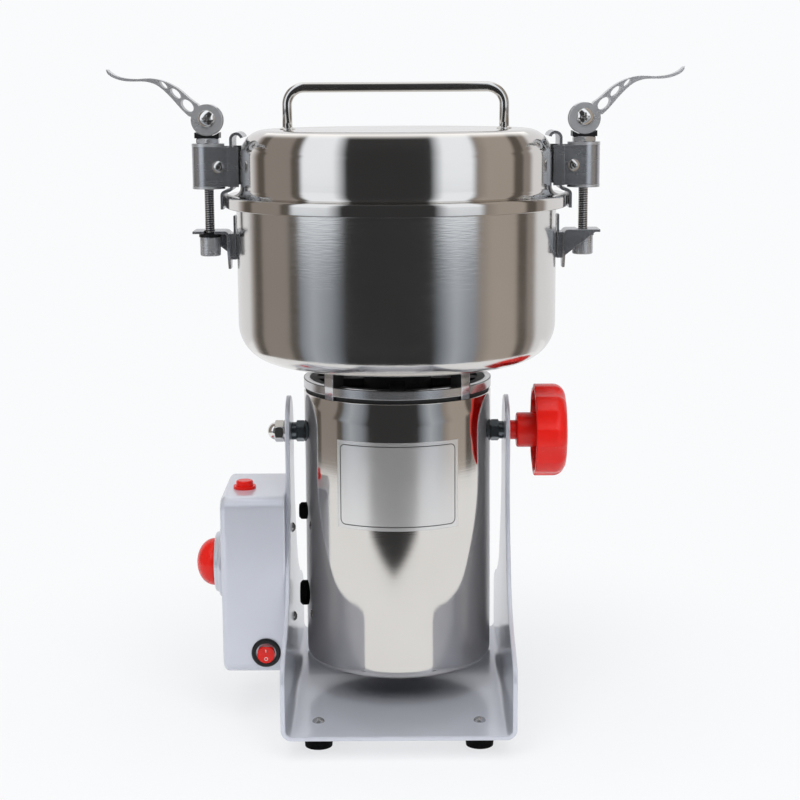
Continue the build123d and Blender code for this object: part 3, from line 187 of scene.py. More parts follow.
# %% Rounded outlines, lathe and carried sections
def rounded(corners, radii, closed=False, steps=8):
    """Swap each corner for an arc tangent to both runs. A close point past each end keeps the runs flat."""
    corners = np.asarray(corners, float)
    radii = np.broadcast_to(radii, len(corners))
    run = []
    for i, (corner, radius) in enumerate(zip(corners, radii)):
        if radius == 0 or (not closed and i in (0, len(corners) - 1)):
            run.append(corner[None])
            continue
        arms = np.stack((corners[i - 1], corners[(i + 1) % len(corners)])) - corner
        lengths = np.linalg.norm(arms, axis=1)
        arms = arms / lengths[:, None]
        half = np.arccos(np.clip(arms[0] @ arms[1], -1, 1)) / 2
        reach = min(radius / np.tan(half), 0.49 * lengths.min())
        middle = corner + arms.sum(axis=0) / np.linalg.norm(arms.sum(axis=0)) * reach / np.cos(half)
        sweep = np.pi - 2 * half
        share = np.linspace(0, 1, steps + 1)[:, None]
        ends = corner + arms * reach - middle
        spread = np.sin((1 - share) * sweep) * ends[0] + np.sin(share * sweep) * ends[1]
        arc = middle + spread / np.sin(sweep)
        beyond = reach + 0.3 * np.minimum(reach, 0.5 * lengths - reach)
        run.append(np.vstack((corner + arms[0] * beyond[0], arc, corner + arms[1] * beyond[1])))
    run = np.concatenate(run)
    return np.vstack((run, run[:1])) if closed else run


def rectangle(low, high, radii, steps=8):
    """A closed rectangle between two corners with rounded corners, from the lower left one round."""
    return rounded([low, (high[0], low[1]), high, (low[0], high[1])], radii, closed=True, steps=steps)


def polar(radius, angle, height):
    """Points at a radius r, angle a and height h round Z: (r cos a, r sin a, h)."""
    return np.stack(np.broadcast_arrays(radius * np.cos(angle), radius * np.sin(angle), height), -1)


AXES = {"x": (2, 0, 1), "z": (0, 1, 2)}


def lathe(profile, axis="z", centre=(0, 0, 0), turns=128):
    """Turn a profile of (radius, height) round an axis through a centre."""
    radius, height = np.asarray(profile, float).T[..., None]
    ring = polar(radius, np.linspace(0, 2 * np.pi, turns + 1), height)
    return ring[..., AXES[axis]] + np.asarray(centre)


def bent_rod(path, radius, sides=32):
    """Carry a circle along a flat path in X and Z: path + radius (cos b * normal + sin b * Y)."""
    run = np.gradient(path, axis=0)
    run = run / np.linalg.norm(run, axis=1)[:, None]
    normal = np.stack((-run[:, 2], 0 * run[:, 0], run[:, 0]), -1)
    around = np.linspace(0, 2 * np.pi, sides + 1)[None, :, None]
    return path[:, None] + radius * (np.cos(around) * normal[:, None] + np.sin(around) * np.array((0, 1, 0)))


def box_mm(node):
    """A node's lowest and highest corners in millimetres."""
    return np.array(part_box(node)) / MM


# %% [markdown]
# ## The light tent
# The polished bowl is a mirror, so what stands round it matters more than any lamp: a bright tent behind,
# warm grey walls at the sides, two tall soft boxes in front and the dark of the room between them. They are
# one wall that only reflections see, with a soft ceiling over it. The lamps stay plain and soft.


# %% World and floor
def seen_rays(tree):
    """1 for camera, glossy and transmission rays, 0 for the rest."""
    path = add(tree, "ShaderNodeLightPath")
    seen = path.outputs["Is Camera Ray"]
    for ray in ("Is Glossy Ray", "Is Transmission Ray"):
        seen = add(tree, "ShaderNodeMath", {"operation": "MAXIMUM"}, _0=seen, _1=path.outputs[ray]).outputs[0]
    return seen


world = bpy.data.worlds.new("white_tent")
scene.world = world
world.use_nodes = True
tree = world.node_tree
tree.nodes.clear()
tent_white = linear("#fafbfc")
fill_strength = 0.30
shown = add(tree, "ShaderNodeBackground", Color=tent_white, Strength=1.0)
fill = add(tree, "ShaderNodeBackground", Color=linear("#f4f6fa"), Strength=fill_strength)
mix = add(tree, "ShaderNodeMixShader", _0=seen_rays(tree), _1=fill.outputs[0], _2=shown.outputs[0])
add(tree, "ShaderNodeOutputWorld", Surface=mix.outputs[0])

floor_reach = 6.0
floor_mesh = bpy.data.meshes.new("floor")
floor_corners = np.array(((-1, -1, 0), (1, -1, 0), (1, 1, 0), (-1, 1, 0))) * floor_reach
floor_mesh.from_pydata(floor_corners.tolist(), [], [(0, 1, 2, 3)])
floor = bpy.data.objects.new("floor", floor_mesh)
scene.collection.objects.link(floor)
floor_paper, tree = empty_material("floor_paper")
fade_start, fade_end, floor_shade = 0.12, 0.42, 0.72
place = add(tree, "ShaderNodeTexCoord")
away = add(tree, "ShaderNodeVectorMath", {"operation": "LENGTH"}, _0=place.outputs["Object"])
fade = add(tree, "ShaderNodeMapRange", {"interpolation_type": "SMOOTHSTEP"}, Value=away.outputs["Value"],
           From_Min=fade_start, From_Max=fade_end, To_Min=floor_shade, To_Max=1.0)
seen_fade = add(tree, "ShaderNodeMath", {"operation": "MULTIPLY"}, _0=seen_rays(tree), _1=fade.outputs[0])
paper = add(tree, "ShaderNodeBsdfDiffuse", Color=linear("#f2f3f5"))
glow = add(tree, "ShaderNodeEmission", Color=tent_white, Strength=1.0)
mix = add(tree, "ShaderNodeMixShader", _0=seen_fade.outputs[0], _1=paper.outputs[0], _2=glow.outputs[0])
add(tree, "ShaderNodeOutputMaterial", Surface=mix.outputs[0])
floor_mesh.materials.append(floor_paper)


# %% Lamps
def soft_lamp(name, place, size, watts):
    """A soft square lamp that looks at the middle of the grinder."""
    data = bpy.data.lights.new(name, "AREA")
    data.size, data.energy = size, watts
    lamp = bpy.data.objects.new(name, data)
    aim = Vector((0, 0, lamp_aim)) - Vector(place)
    lamp.matrix_world = Matrix.Translation(Vector(place)) @ aim.to_track_quat("-Z", "Y").to_matrix().to_4x4()
    lamp.visible_glossy = False
    scene.collection.objects.link(lamp)


# Each lamp: its place and size in metres and its power in watts
lamp_aim = 0.2
soft_lamp("top_lamp", (0.0, -0.2, 1.9), 1.4, 20)
soft_lamp("left_lamp", (-0.8, -1.5, 1.7), 1.0, 14)
soft_lamp("right_lamp", (0.8, -1.5, 1.7), 1.0, 12)
print("lamps: top, left and right")


# %% Cards that only reflections see
def stage_glow(name, grid, colours):
    """A surface that glows in the colours of its points and that only reflections see."""
    mesh = bpy.data.meshes.new(name)
    mesh.from_pydata((grid.reshape(-1, 3) * MM).tolist(), [], quad_faces(*grid.shape[:2]).tolist())
    mesh.color_attributes.new("glow", "FLOAT_COLOR", "POINT").data.foreach_set("color", colours.reshape(-1))
    material, tree = empty_material(name)
    colour = add(tree, "ShaderNodeAttribute", {"attribute_name": "glow"})
    light = add(tree, "ShaderNodeEmission", Color=colour.outputs["Color"], Strength=1.0)
    add(tree, "ShaderNodeOutputMaterial", Surface=light.outputs[0])
    mesh.materials.append(material)
    panel = bpy.data.objects.new(name, mesh)
    scene.collection.objects.link(panel)
    panel.visible_camera = panel.visible_diffuse = panel.visible_shadow = panel.visible_transmission = False


def soft_step(share):
    """Ease a share from 0 to 1 with level ends: t t (3 - 2 t), where t is the share held between 0 and 1."""
    share = np.clip(share, 0, 1)
    return share * share * (3 - 2 * share)


# %% Wall and ceiling of the tent
# Each zone of the wall: azimuth in degrees (0 is the front, + is right) and what stands there
rear, post, room = "#ececee", "#605a54", "#383839"
warm_left, warm_right, box_side, box_core = "#968e88", "#b0a69c", "#8f969f", "#b3bac2"
zones = ((-180, rear), (-124, rear), (-116, warm_left), (-112, post), (-106, post), (-103, warm_left),
         (-78, warm_left), (-75, post), (-70, post), (-66, box_side), (-57, box_core), (-43, box_side),
         (-33, room), (23, room), (32, box_side), (39, box_core), (52, box_side), (57, warm_left),
         (66, warm_right), (87, warm_right), (91, post), (98, post), (101, warm_left), (107, warm_left),
         (113, rear), (180, rear))
wall_distance, wall_bottom, wall_top, box_edge_low, box_edge_high = 790, 4, 1600, 230, 330
soft_box_glow = np.array((1.08, 1.14, 1.22, 1.0))
azimuth = np.linspace(-180, 180, 721)
height = np.linspace(wall_bottom, wall_top, 81)
zone_angles = [angle for angle, _ in zones]
zone_colours = np.array([linear(colour) for _, colour in zones])
zone_box = np.array([colour in (box_side, box_core) for _, colour in zones]).astype(float)
base_colour = np.stack([np.interp(azimuth, zone_angles, zone_colours[:, i]) for i in range(4)], -1)
box_share = np.interp(azimuth, zone_angles, zone_box)[:, None, None]
lift = soft_step((height - box_edge_low) / (box_edge_high - box_edge_low))[None, :, None] * box_share
glow_colour = base_colour[:, None] * (1 - lift) + soft_box_glow * lift
FRONT = -np.pi / 2
stage_glow("tent_wall", polar(wall_distance, np.radians(azimuth)[:, None] + FRONT, height), glow_colour)
ceiling_height, ceiling_reach, ceiling_strength = 1700, 1000, 1.35
ceiling = np.array([[(-1, -1), (1, -1)], [(-1, 1), (1, 1)]]) * ceiling_reach
ceiling = np.concatenate((ceiling, np.full((2, 2, 1), ceiling_height)), -1)
stage_glow("tent_ceiling", ceiling, np.full((2, 2, 4), ceiling_strength))
print("tent: a wall of", len(zones), "zone edges and a ceiling")

# %% The dark floor of the room, which narrows to a rounded point where the tent's floor begins
tent_end, room_middle, room_half, room_span, room_height, room_softness = (405, 560), -5.0, 28.0, 30, 6.0, 12
room_turn = np.linspace(room_middle - room_span, room_middle + room_span, 61)
reach = np.linspace(tent_end[0], wall_distance, 33)[:, None]
room_floor = polar(reach, np.radians(room_turn) + FRONT, room_height)
narrow = np.sqrt(np.clip((reach - tent_end[0]) / (tent_end[1] - tent_end[0]), 0, 1))
inside = (room_half * narrow - np.abs(room_turn - room_middle)) / room_softness
dark = soft_step(inside + 0.5 * narrow)[..., None]
stage_glow("room_floor", room_floor, np.array(tent_white) * (1 - dark) + np.array(linear(room)) * dark)
print("room floor: from", tent_end[0], "to", wall_distance, "mm")


# %% [markdown]
# ## Cards for the rounded corners
# A rounded corner mirrors far more of the studio than a straight wall does, so a wall alone would bend
# every zone's edge there. A studio worker adds cards under the bowl and over the lid. Where each card has
# to stand follows from the law of the mirror, and it carries the zone that the straight wall next to it
# shows.


# %% Where a rounded corner sends the view
def mirrored_card(corner, rises, level):
    """Where the view goes after a rounded corner mirrors it: d = v - 2 (v . n) n, followed to a level."""
    corner_radius, corner_height, round_radius = corner
    rise = np.radians(rises)[:, None]
    front = np.stack(np.broadcast_arrays(np.sin(card_turn), -np.cos(card_turn), 0 * card_turn), -1)
    normal = front * np.cos(rise)[..., None] + np.array((0, 0, 1)) * np.sin(rise)[..., None]
    place = front * corner_radius + normal * round_radius + np.array((0, 0, corner_height))
    view = place - camera_place / MM
    view = view / np.linalg.norm(view, axis=-1, keepdims=True)
    away = view - 2 * (view * normal).sum(axis=-1, keepdims=True) * normal
    return place + away * ((level - place[..., 2]) / away[..., 2])[..., None]


# Each corner: radius and height of the arc's centre and the arc's radius, in millimetres
bowl_bend, lid_bend = (80, 265, 25), (85, 374, 17)
wall_level, skirt_level, roof_level, card_half = 164, 195, 560, 62
card_turn = np.radians(np.linspace(-card_half, card_half, 249))[None]
straight = mirrored_card(bowl_bend, [0], wall_level)[0]
far_side = np.degrees(np.arctan2(straight[:, 0], -straight[:, 1]))
card_colour = np.stack([np.interp(far_side, azimuth, base_colour[:, i]) for i in range(4)], -1)[None]
card_box = np.interp(far_side, azimuth, box_share[:, 0, 0])[None, :, None]
skirt_rises, roof_rises = np.linspace(0, -36, 25), np.linspace(9, 68, 60)
stage_glow("tent_skirt", mirrored_card(bowl_bend, skirt_rises, skirt_level),
           card_colour + 0 * skirt_rises[:, None, None])
fade_rise, fade_width = 48, 20
fade = soft_step((roof_rises - fade_rise) / fade_width)[:, None, None]
roof_colour = card_colour * (1 - card_box) + soft_box_glow * card_box
stage_glow("tent_roof", mirrored_card(lid_bend, roof_rises, roof_level),
           roof_colour * (1 - fade) + ceiling_strength * fade)
# A black sheet that only reflections see stands in the gap behind the housing: it is painted shade, darkening
# the base under the housing
flag_half, flag_back, flag_low, flag_high, flag_glow = 66.0, 58.0, 16.5, 34.5, 0.01
flag = np.array([[(-flag_half, flag_back, z), (flag_half, flag_back, z)] for z in (flag_low, flag_high)])
stage_glow("shade_sheet_under_housing", flag, np.full((2, 2, 4), flag_glow))
print("cards: skirt, roof and flag")

# %% [markdown]
# ## Finishes
# Each finish starts from the real material and how its surface was made. The bowl, lid and housing are
# stainless sheet. The lid and housing are mirror-polished on a wheel, which leaves fine lines round the
# piece, and the bowl is lightly brushed. Bright parts are turned or drawn steel, and the clamp pressings
# are zinc-plated and a little dull. Flat colours would do from afar, but a drift of tint and gloss is
# what makes a surface look made, so every finish has both.


# %% What all finishes share
def skin(name, colours, rough, fine_mm, detail, slow_mm, spread, cloudy, bump_strength, **settings):
    """A slow noise drifts between two tints, and a fine one, alone or with the slow, varies the gloss."""
    material, tree, shader = shaded_material(name)
    for socket, value in settings.items():
        shader.inputs[socket.replace("_", " ")].default_value = value
    relief_mm, noise_low, noise_high = 0.2, 0.6, 1.4
    place = add(tree, "ShaderNodeTexCoord").outputs["Object"]
    close = add(tree, "ShaderNodeMapping", Vector=place, Scale=1 / (np.array(fine_mm) * MM))
    fine = add(tree, "ShaderNodeTexNoise", Vector=close.outputs[0], Scale=1.0, Detail=detail).outputs[0]
    slow = add(tree, "ShaderNodeTexNoise", Vector=place, Scale=1 / (slow_mm * MM), Detail=2.0).outputs[0]
    tint = add(tree, "ShaderNodeMix", {"data_type": "RGBA"}, _0=slow, _6=linear(colours[0]),
               _7=linear(colours[1]))
    both = add(tree, "ShaderNodeMath", {"operation": "ADD"}, _0=fine, _1=slow if cloudy else fine)
    gloss = add(tree, "ShaderNodeMapRange", Value=both.outputs[0], From_Min=noise_low, From_Max=noise_high,
                To_Min=rough * spread[0], To_Max=rough * spread[1])
    bump = add(tree, "ShaderNodeBump", Height=fine, Strength=bump_strength, Distance=relief_mm * MM)
    for socket, source in (("Base Color", tint.outputs[2]), ("Roughness", gloss.outputs[0]),
                           ("Normal", bump.outputs[0])):
        tree.links.new(source, shader.inputs[socket])
    return material


# %% Metals
def steel(name, colours, rough, streak_mm=0.7, streak_bump=0.02, metallic=1.0, streak_length_mm=60):
    """Steel sheet: a mirror with the faint lines of the polishing wheel, which spread each reflection."""
    # Real polishing lines are far finer than a pixel, so they are drawn about a pixel wide
    cloud_mm, spread = 45, (0.75, 1.3)
    return skin(name, colours, rough, (streak_length_mm, streak_length_mm, streak_mm), 2.0, cloud_mm,
                spread, True, streak_bump, Metallic=metallic)


# Wheel-polished stainless: an almost clear mirror, a little warm
polished_steel = steel("polished_stainless", ("#d6d2cd", "#dedbd7"), 0.09)
# Stainless brushed round the bowl: fine lines that draw every reflection out a little in height
brushed_steel = steel("brushed_stainless", ("#d6d3cf", "#dedcd9"), 0.14, 1.0, 0.15, streak_length_mm=10)
# Drawn or turned stainless: bright, with softer edges to its reflections
bright_steel = steel("bright_stainless", ("#d0cecb", "#dad8d5"), 0.14)
# Chrome plate: the brightest small glints
chrome = steel("chrome_plate", ("#e2e0dc", "#e8e6e3"), 0.10, 0.8, 0.01)
# Satin name plate: pale and even, with a blurred sheen
plate_steel = steel("satin_plate", ("#dcdbda", "#e4e3e2"), 0.20, 0.7, 0.01, metallic=0.7)
# Zinc-plated pressing: soft silver grey, half matt
satin_steel = steel("zinc_plated_pressing", ("#b8b9bb", "#c6c7c9"), 0.28, 8.0, 0.005, metallic=0.6)
# Dull zinc strap: the same with a darker, cooler tone
strap_steel = steel("dull_zinc_strap", ("#a2a4a8", "#b2b4b7"), 0.24, 8.0, 0.005, metallic=0.86)
# Bright zinc plate: pale and glossy
zinc_steel = steel("zinc_plate", ("#c6c6c7", "#d4d4d5"), 0.20, 8.0, 0.005, metallic=0.85)
# Zinc plate darkened to a cool dark grey with clear highlights: the dark tone is painted shade on the pivot
# nuts and bushes and on the studs
shade_darkened_zinc = steel("zinc_with_painted_shade", ("#5b6165", "#70777b"), 0.22, 8.0, 0.005, metallic=0.85)
# Cast aluminium: pale grey with a grainy, wide sheen
cast_aluminium = steel("cast_aluminium", ("#b8b6b3", "#c6c4c1"), 0.36, 1.5, 0.05)
# Bare core steel: dark grey and dull
core_steel = steel("lamination_steel", ("#5a5a5c", "#6a6a6c"), 0.4, 0.9, 0.15)
print("metals: 11")


# %% Paint, plastics and rubber
def coated(name, colours, rough, grain_mm, bump_strength, metallic=0.0, coat=0.0, specular=0.5,
           gloss_spread=0.15):
    """A skin with a soft mottle and a fine grain of its own, as sprayed paint or moulded plastic has."""
    # The real grain is finer than a pixel, so it is drawn as coarse as it needs to show
    mottle_mm, spread = 38, (1 - gloss_spread, 1 + gloss_spread)
    return skin(name, colours, rough, (grain_mm, grain_mm, grain_mm), 3.0, mottle_mm, spread, False,
                bump_strength, Metallic=metallic, Specular_IOR_Level=specular, Coat_Weight=coat,
                Coat_Roughness=0.08)


# Sprayed silver paint: smooth, cool light grey with a soft sheen under a thin clear coat
silver_paint = coated("silver_paint", ("#d0d3dd", "#d8dbe4"), 0.28, 0.8, 0.002, metallic=0.35, coat=0.35,
                      gloss_spread=0.02)
# Moulded ABS: strong red with a clean gloss
red_plastic = coated("red_abs", ("#e81a11", "#ee2116"), 0.24, 3.0, 0.02, specular=0.35)
# Dark casting, nearly black and matt. On the bottom cover it is partly the part's own dark colour and partly
# painted shade under the housing; on the vent collar, between the bright ring and its posts, it is painted
# shade in the slots
black_casting_and_gap_shade = coated("black_casting_and_gap_shade", ("#1e1e1f", "#262627"), 0.6, 1.5, 0.1)
# Moulded nylon: black with a faint satin sheen
black_plastic = coated("black_nylon", ("#131314", "#19191a"), 0.40, 1.2, 0.08, specular=0.35)
# Rubber: deep black that hardly shines
black_rubber = coated("black_rubber", ("#0a0a0b", "#101011"), 0.8, 1.0, 0.15, specular=0.12)
# Printed ink: flat warm white
white_ink = coated("white_ink", ("#e4dcd6", "#ece5e0"), 0.5, 1.0, 0.02)
# Enamelled copper wire: brown red under a clear skin
copper = coated("enamelled_copper", ("#8c4a22", "#a05a2c"), 0.35, 1.0, 0.1, metallic=0.9)
# Pressed carbon: flat dark grey
carbon = coated("pressed_carbon", ("#242424", "#2c2c2c"), 0.6, 1.0, 0.1)
finish_of = {"polished_steel": polished_steel, "bright_steel": bright_steel, "satin_steel": satin_steel,
             "zinc_steel": zinc_steel, "silver_paint": silver_paint, "cast_aluminium": cast_aluminium,
             "red_plastic": red_plastic, "black_plastic": black_plastic, "black_rubber": black_rubber,
             "core_steel": core_steel, "copper": copper, "carbon": carbon}
slot_of = {entry["node"]: entry["material_slot"] for entry in frame["record"]["subparts"]}
body_of = {node: body for body, held in frame["record"]["behaviour"]["bodies"].items() for node in held}
own_finish = {"bowl": brushed_steel}
# The draw rods take the dark core steel: where they show between the turns of the bright thread laid over
# them, their dark grey is painted shade in the thread's grooves
for finish, held in ((strap_steel, ("clamp_straps", "lid_brackets", "bowl_brackets")),
                     (black_casting_and_gap_shade, ("vent_collar", "bottom_cover")),
                     (core_steel, ("left_draw_rod", "right_draw_rod")),
                     (shade_darkened_zinc, ("pivot_nuts", "pivot_bushes", "lock_stud", "pivot_stud"))):
    own_finish.update(dict.fromkeys(held, finish))
node_finish = {node: own_finish.get(node, finish_of[slot]) for node, slot in slot_of.items()}
for node, finish in node_finish.items():
    nodes[node].data.materials.clear()
    nodes[node].data.materials.append(finish)
print("finishes:", len(finish_of), "by slot and", len(own_finish), "nodes with their own")


# %% Grids shown as pieces
def show(name, grids, node, finish=None, keep=False):
    """Show grids as a piece with a node's body and finish, in place of the node unless that is kept."""
    replaced = () if keep else (node,)
    place_piece(new_mesh(name, grids), finish or node_finish[node], body_of[node], slot_of[node], *replaced)


# %% [markdown]
# ## Bowl, lid and housing
# All three are spun or drawn from sheet, so a profile turned round the axis is how they are really made.
# The profile holds both faces of the sheet, and its corners are the radii of the press tools.

# %% Bowl
bowl_low, bowl_high = box_mm("bowl")
bowl_wall, bowl_corner, rim_width, rim_thickness, seal_hole = 1.5, 25.0, 4.5, 2.0, 14.05
rim_radius, bowl_bottom, bowl_rim = bowl_high[0], bowl_low[2], bowl_high[2]
bowl_radius = rim_radius - rim_width
bowl_inner = bowl_radius - bowl_wall
bowl_profile = rounded(
    [(seal_hole, bowl_bottom), (bowl_radius, bowl_bottom), (bowl_radius, bowl_rim - rim_thickness),
     (rim_radius, bowl_rim - rim_thickness), (rim_radius, bowl_rim), (bowl_inner, bowl_rim),
     (bowl_inner, bowl_bottom + bowl_wall), (seal_hole, bowl_bottom + bowl_wall)],
    (0.3, bowl_corner, 1.2, 0.9, 0.9, 0.7, bowl_corner - bowl_wall, 0.3), closed=True, steps=14)
show("bowl_sheet", [lathe(bowl_profile, turns=192)], "bowl")

# %% Lid
lid_low, lid_high = box_mm("lid_shell")
lid_inset, lid_wall, lid_shoulder, lid_fillet = 3.0, 1.5, 17.0, 6.0
flange_wall, skirt_height = 1.8, 8.0
flange_radius, skirt_bottom, lid_top = lid_high[0], lid_low[2], lid_high[2]
lid_radius = bowl_radius - lid_inset
lid_inner, flange_inner = lid_radius - lid_wall, flange_radius - flange_wall
flange_top = skirt_bottom + skirt_height
flange_under = flange_top - flange_wall
lid_profile = rounded(
    [(0, lid_top), (lid_radius, lid_top), (lid_radius, flange_top), (flange_radius, flange_top),
     (flange_radius, skirt_bottom), (flange_inner, skirt_bottom), (flange_inner, flange_under),
     (lid_inner, flange_under), (lid_inner, lid_top - lid_wall), (0, lid_top - lid_wall)],
    (0, lid_shoulder, lid_fillet, 1.9, 0.7, 0.7, 0.5, 1.0, lid_shoulder - lid_wall, 0), steps=14)
show("lid_sheet", [lathe(lid_profile, turns=192)], "lid_shell")

# %% Motor housing
house_low, house_high = box_mm("motor_housing")
house_wall, house_corner, house_mouth = 1.5, 6.0, 48.0
house_radius, house_bottom, house_top = house_high[0], house_low[2], house_high[2]
house_profile = rounded(
    [(house_mouth, house_bottom), (house_radius, house_bottom), (house_radius, house_top),
     (house_radius - house_wall, house_top), (house_radius - house_wall, house_bottom + house_wall),
     (house_mouth, house_bottom + house_wall)],
    (0.3, house_corner, 0.5, 0.5, house_corner - house_wall, 0.3), closed=True, steps=10)
show("housing_sheet", [lathe(house_profile, turns=192)], "motor_housing")
print("turned sheet: bowl", len(bowl_profile), "lid", len(lid_profile), "housing", len(house_profile), "rows")

# %% [markdown]
# ## The bare name plate
# A thin satin plate is bent round the housing's front. It carries nothing but a printed border, so the
# plate is a shallow sheet on the cylinder and the border a hair-thin ribbon that follows a rounded
# rectangle on it.


# %% Plate and printed border
def on_cylinder(arc, z, radius):
    """Wrap a flat place (arc length from the front, height) on the housing: angle is arc / housing radius."""
    return polar(radius, arc / house_radius + FRONT, z)


plate_half, plate_bottom, plate_top, plate_thick, plate_sunk = 42.0, 136.0, 194.0, 0.35, -0.1
border_inset, border_corner, border_width = 2.6, 3.4, 0.55
# Close rows beside the edges keep the face even up to its rim
arc_share = np.concatenate(([-1], np.linspace(-0.996, 0.996, 47), [1]))
rise_share = np.concatenate(([-1], np.linspace(-0.995, 0.995, 23), [1]))
border = rectangle((-plate_half + border_inset, plate_bottom + border_inset),
                   (plate_half - border_inset, plate_top - border_inset), border_corner)
run = np.append(0, np.cumsum(np.linalg.norm(np.diff(border, axis=0), axis=1)))
even = np.linspace(0, run[-1], 401)
border = np.stack([np.interp(even, run, border[:, i]) for i in (0, 1)], -1)


def plate_sheet():
    """The plate as one closed grid: rows run up the front, down the back and to the front again."""
    rows = np.concatenate((rise_share, rise_share[::-1], rise_share[:1]))
    out = np.repeat((plate_thick, plate_sunk, plate_thick), (len(rise_share), len(rise_share), 1))
    z = (plate_bottom + plate_top) / 2 + rows * (plate_top - plate_bottom) / 2
    face = on_cylinder(arc_share[None, :] * plate_half, z[:, None], (house_radius + out)[:, None])
    left, right = (np.repeat(face[:, i:i + 1].mean(axis=0, keepdims=True), len(face), axis=0)
                   for i in (0, len(arc_share) - 1))
    return np.concatenate((left, face, right), axis=1)


show("name_plate", [plate_sheet()], "motor_housing", plate_steel, keep=True)


def ribbon(outline, width, low, high):
    """A closed line of a given width on the cylinder: a small rectangle that follows the outline."""
    run = np.roll(outline[:-1], -1, axis=0) - np.roll(outline[:-1], 1, axis=0)
    run = run / np.linalg.norm(run, axis=1)[:, None]
    side = np.stack((run[:, 1], -run[:, 0]), -1) * width / 2
    flat = np.stack([outline[:-1] + side * s for s in (-1, 1, 1, -1, -1)], axis=1)
    out = house_radius + np.array((low, low, high, high, low))
    flat = np.concatenate((flat, flat[:1]))
    return on_cylinder(flat[..., 0], flat[..., 1], out)


ink_sunk, ink_proud = 0.05, 0.06
border_low, border_high = plate_thick - ink_sunk, plate_thick + ink_proud
show("plate_border", [ribbon(border, border_width, border_low, border_high)], "motor_housing", carbon,
     keep=True)
print("plate:", 2 * plate_half, "mm round the housing,", plate_top - plate_bottom, "mm high")

# %% [markdown]
# ## Handle
# A bright rod bent twice and welded to the lid. A circle carried along the bent line gives its even bends,
# and a small fillet of weld is turned round each leg.

# %% Bent rod and its welds
handle_high = box_mm("lid_handle")[1]
rod_radius, bend_radius, weld_radius, weld_height, weld_lip, weld_sunk = 3.2, 11.0, 5.5, 1.5, 0.3, 0.5
leg, grip, sunk = handle_high[0] - weld_radius, handle_high[2] - rod_radius, lid_top - weld_sunk
bend = rounded([(-leg, sunk), (-leg, grip), (leg, grip), (leg, sunk)], bend_radius, steps=16)
path = np.stack((bend[:, 0], 0 * bend[:, 0], bend[:, 1]), -1)
rod = bent_rod(path, rod_radius)
start, end = (np.repeat(path[i:i + 1, None], rod.shape[1], axis=1) for i in (0, len(path) - 1))
weld = rounded([(0, sunk), (weld_radius, sunk), (weld_radius - weld_lip, lid_top + weld_lip),
                (rod_radius, lid_top + weld_height), (0, lid_top + weld_height)], (0, 0, 0.8, 0.4, 0))
welds = [lathe(weld, centre=(side * leg, 0, 0), turns=48) for side in (-1, 1)]
show("handle_rod", [np.concatenate((start, rod, end))] + welds, "lid_handle")
print("handle: legs", round(2 * leg, 1), "mm apart")

# %% [markdown]
# ## Lock knob
# The red knob is a moulded cup: a hub and neck, a face, and a skirt with eight broad flutes for the
# fingers. The turned profile is pulled inwards along each flute, which is an arc cut out of the round
# skirt.


# %% Fluted cup
knob_low, knob_high = box_mm("lock_knob")
knob_radius, knob_face, knob_wall, knob_web = 31.0, knob_high[0], 4.0, 5.0
neck_radius, hub_radius, cup_depth, neck_length = 6.5, 11.75, 21.0, 5.2
neck_end, cup_edge, cup_floor = knob_low[0] + neck_length, knob_face - cup_depth, knob_face - knob_web
cup_inner, cup_draft, pivot_z = knob_radius - knob_wall, 1.5, (knob_low[2] + knob_high[2]) / 2
flute_count, flute_radius, flute_depth, flute_gap = 8, 14.0, 1.5, 8.0
flute_start = hub_radius + flute_gap
knob_profile = rounded(
    [(0, knob_low[0]), (neck_radius, knob_low[0]), (neck_radius, neck_end), (hub_radius, neck_end),
     (hub_radius, cup_floor), (cup_inner, cup_floor), (cup_inner + cup_draft, cup_edge),
     (knob_radius, cup_edge), (knob_radius, knob_face), (0, knob_face)],
    (0, 0.6, 1.0, 1.2, 2.0, 3.0, 1.0, 1.0, 8.0, 0), steps=12)


def fluted(profile, turns=288):
    """Turn a profile about X and pull its skirt in by depth(a), an arc of the flute's radius."""
    ring = lathe(profile, "z", turns=turns)
    angle = np.arctan2(ring[..., 1], ring[..., 0])
    radius = np.hypot(ring[..., 0], ring[..., 1])
    pitch = 2 * np.pi / flute_count
    across = knob_radius * np.sin(angle % pitch - pitch / 2)
    cut = np.sqrt(np.clip(flute_radius ** 2 - across ** 2, 0, None)) - (flute_radius - flute_depth)
    skirt = np.clip((radius - flute_start) / (knob_radius - flute_start), 0, 1)
    pulled = radius - np.clip(cut, 0, None) * skirt
    return np.stack((ring[..., 2], pulled * np.cos(angle), pulled * np.sin(angle)), -1)


show("knob_cup", [fluted(knob_profile) + np.array((0, 0, pivot_z))], "lock_knob")
print("knob:", flute_count, "flutes")

# %% [markdown]
# ## Control box, timer and buttons
# The box is a pressed and painted cover with soft corners. Its outline is drawn once and shrunk row by row
# over the edge, so one grid makes sides, rounded rim and face. The timer's disc and dome, and the reset
# button, are turned.


# %% Box cover
def shrinking(outline, insets, depths):
    """Rows of an outline in Y and Z, each drawn towards the middle by an inset and set at a depth in X."""
    middle = (outline.min(axis=0) + outline.max(axis=0)) / 2
    half = np.abs(outline - middle).max(axis=0)
    scale = 1 - np.asarray(insets)[:, None] / half
    rows = middle + (outline - middle)[None] * scale[:, None, :]
    x = np.broadcast_to(np.asarray(depths)[:, None, None], rows.shape[:2] + (1,))
    return np.concatenate((x, rows), -1)


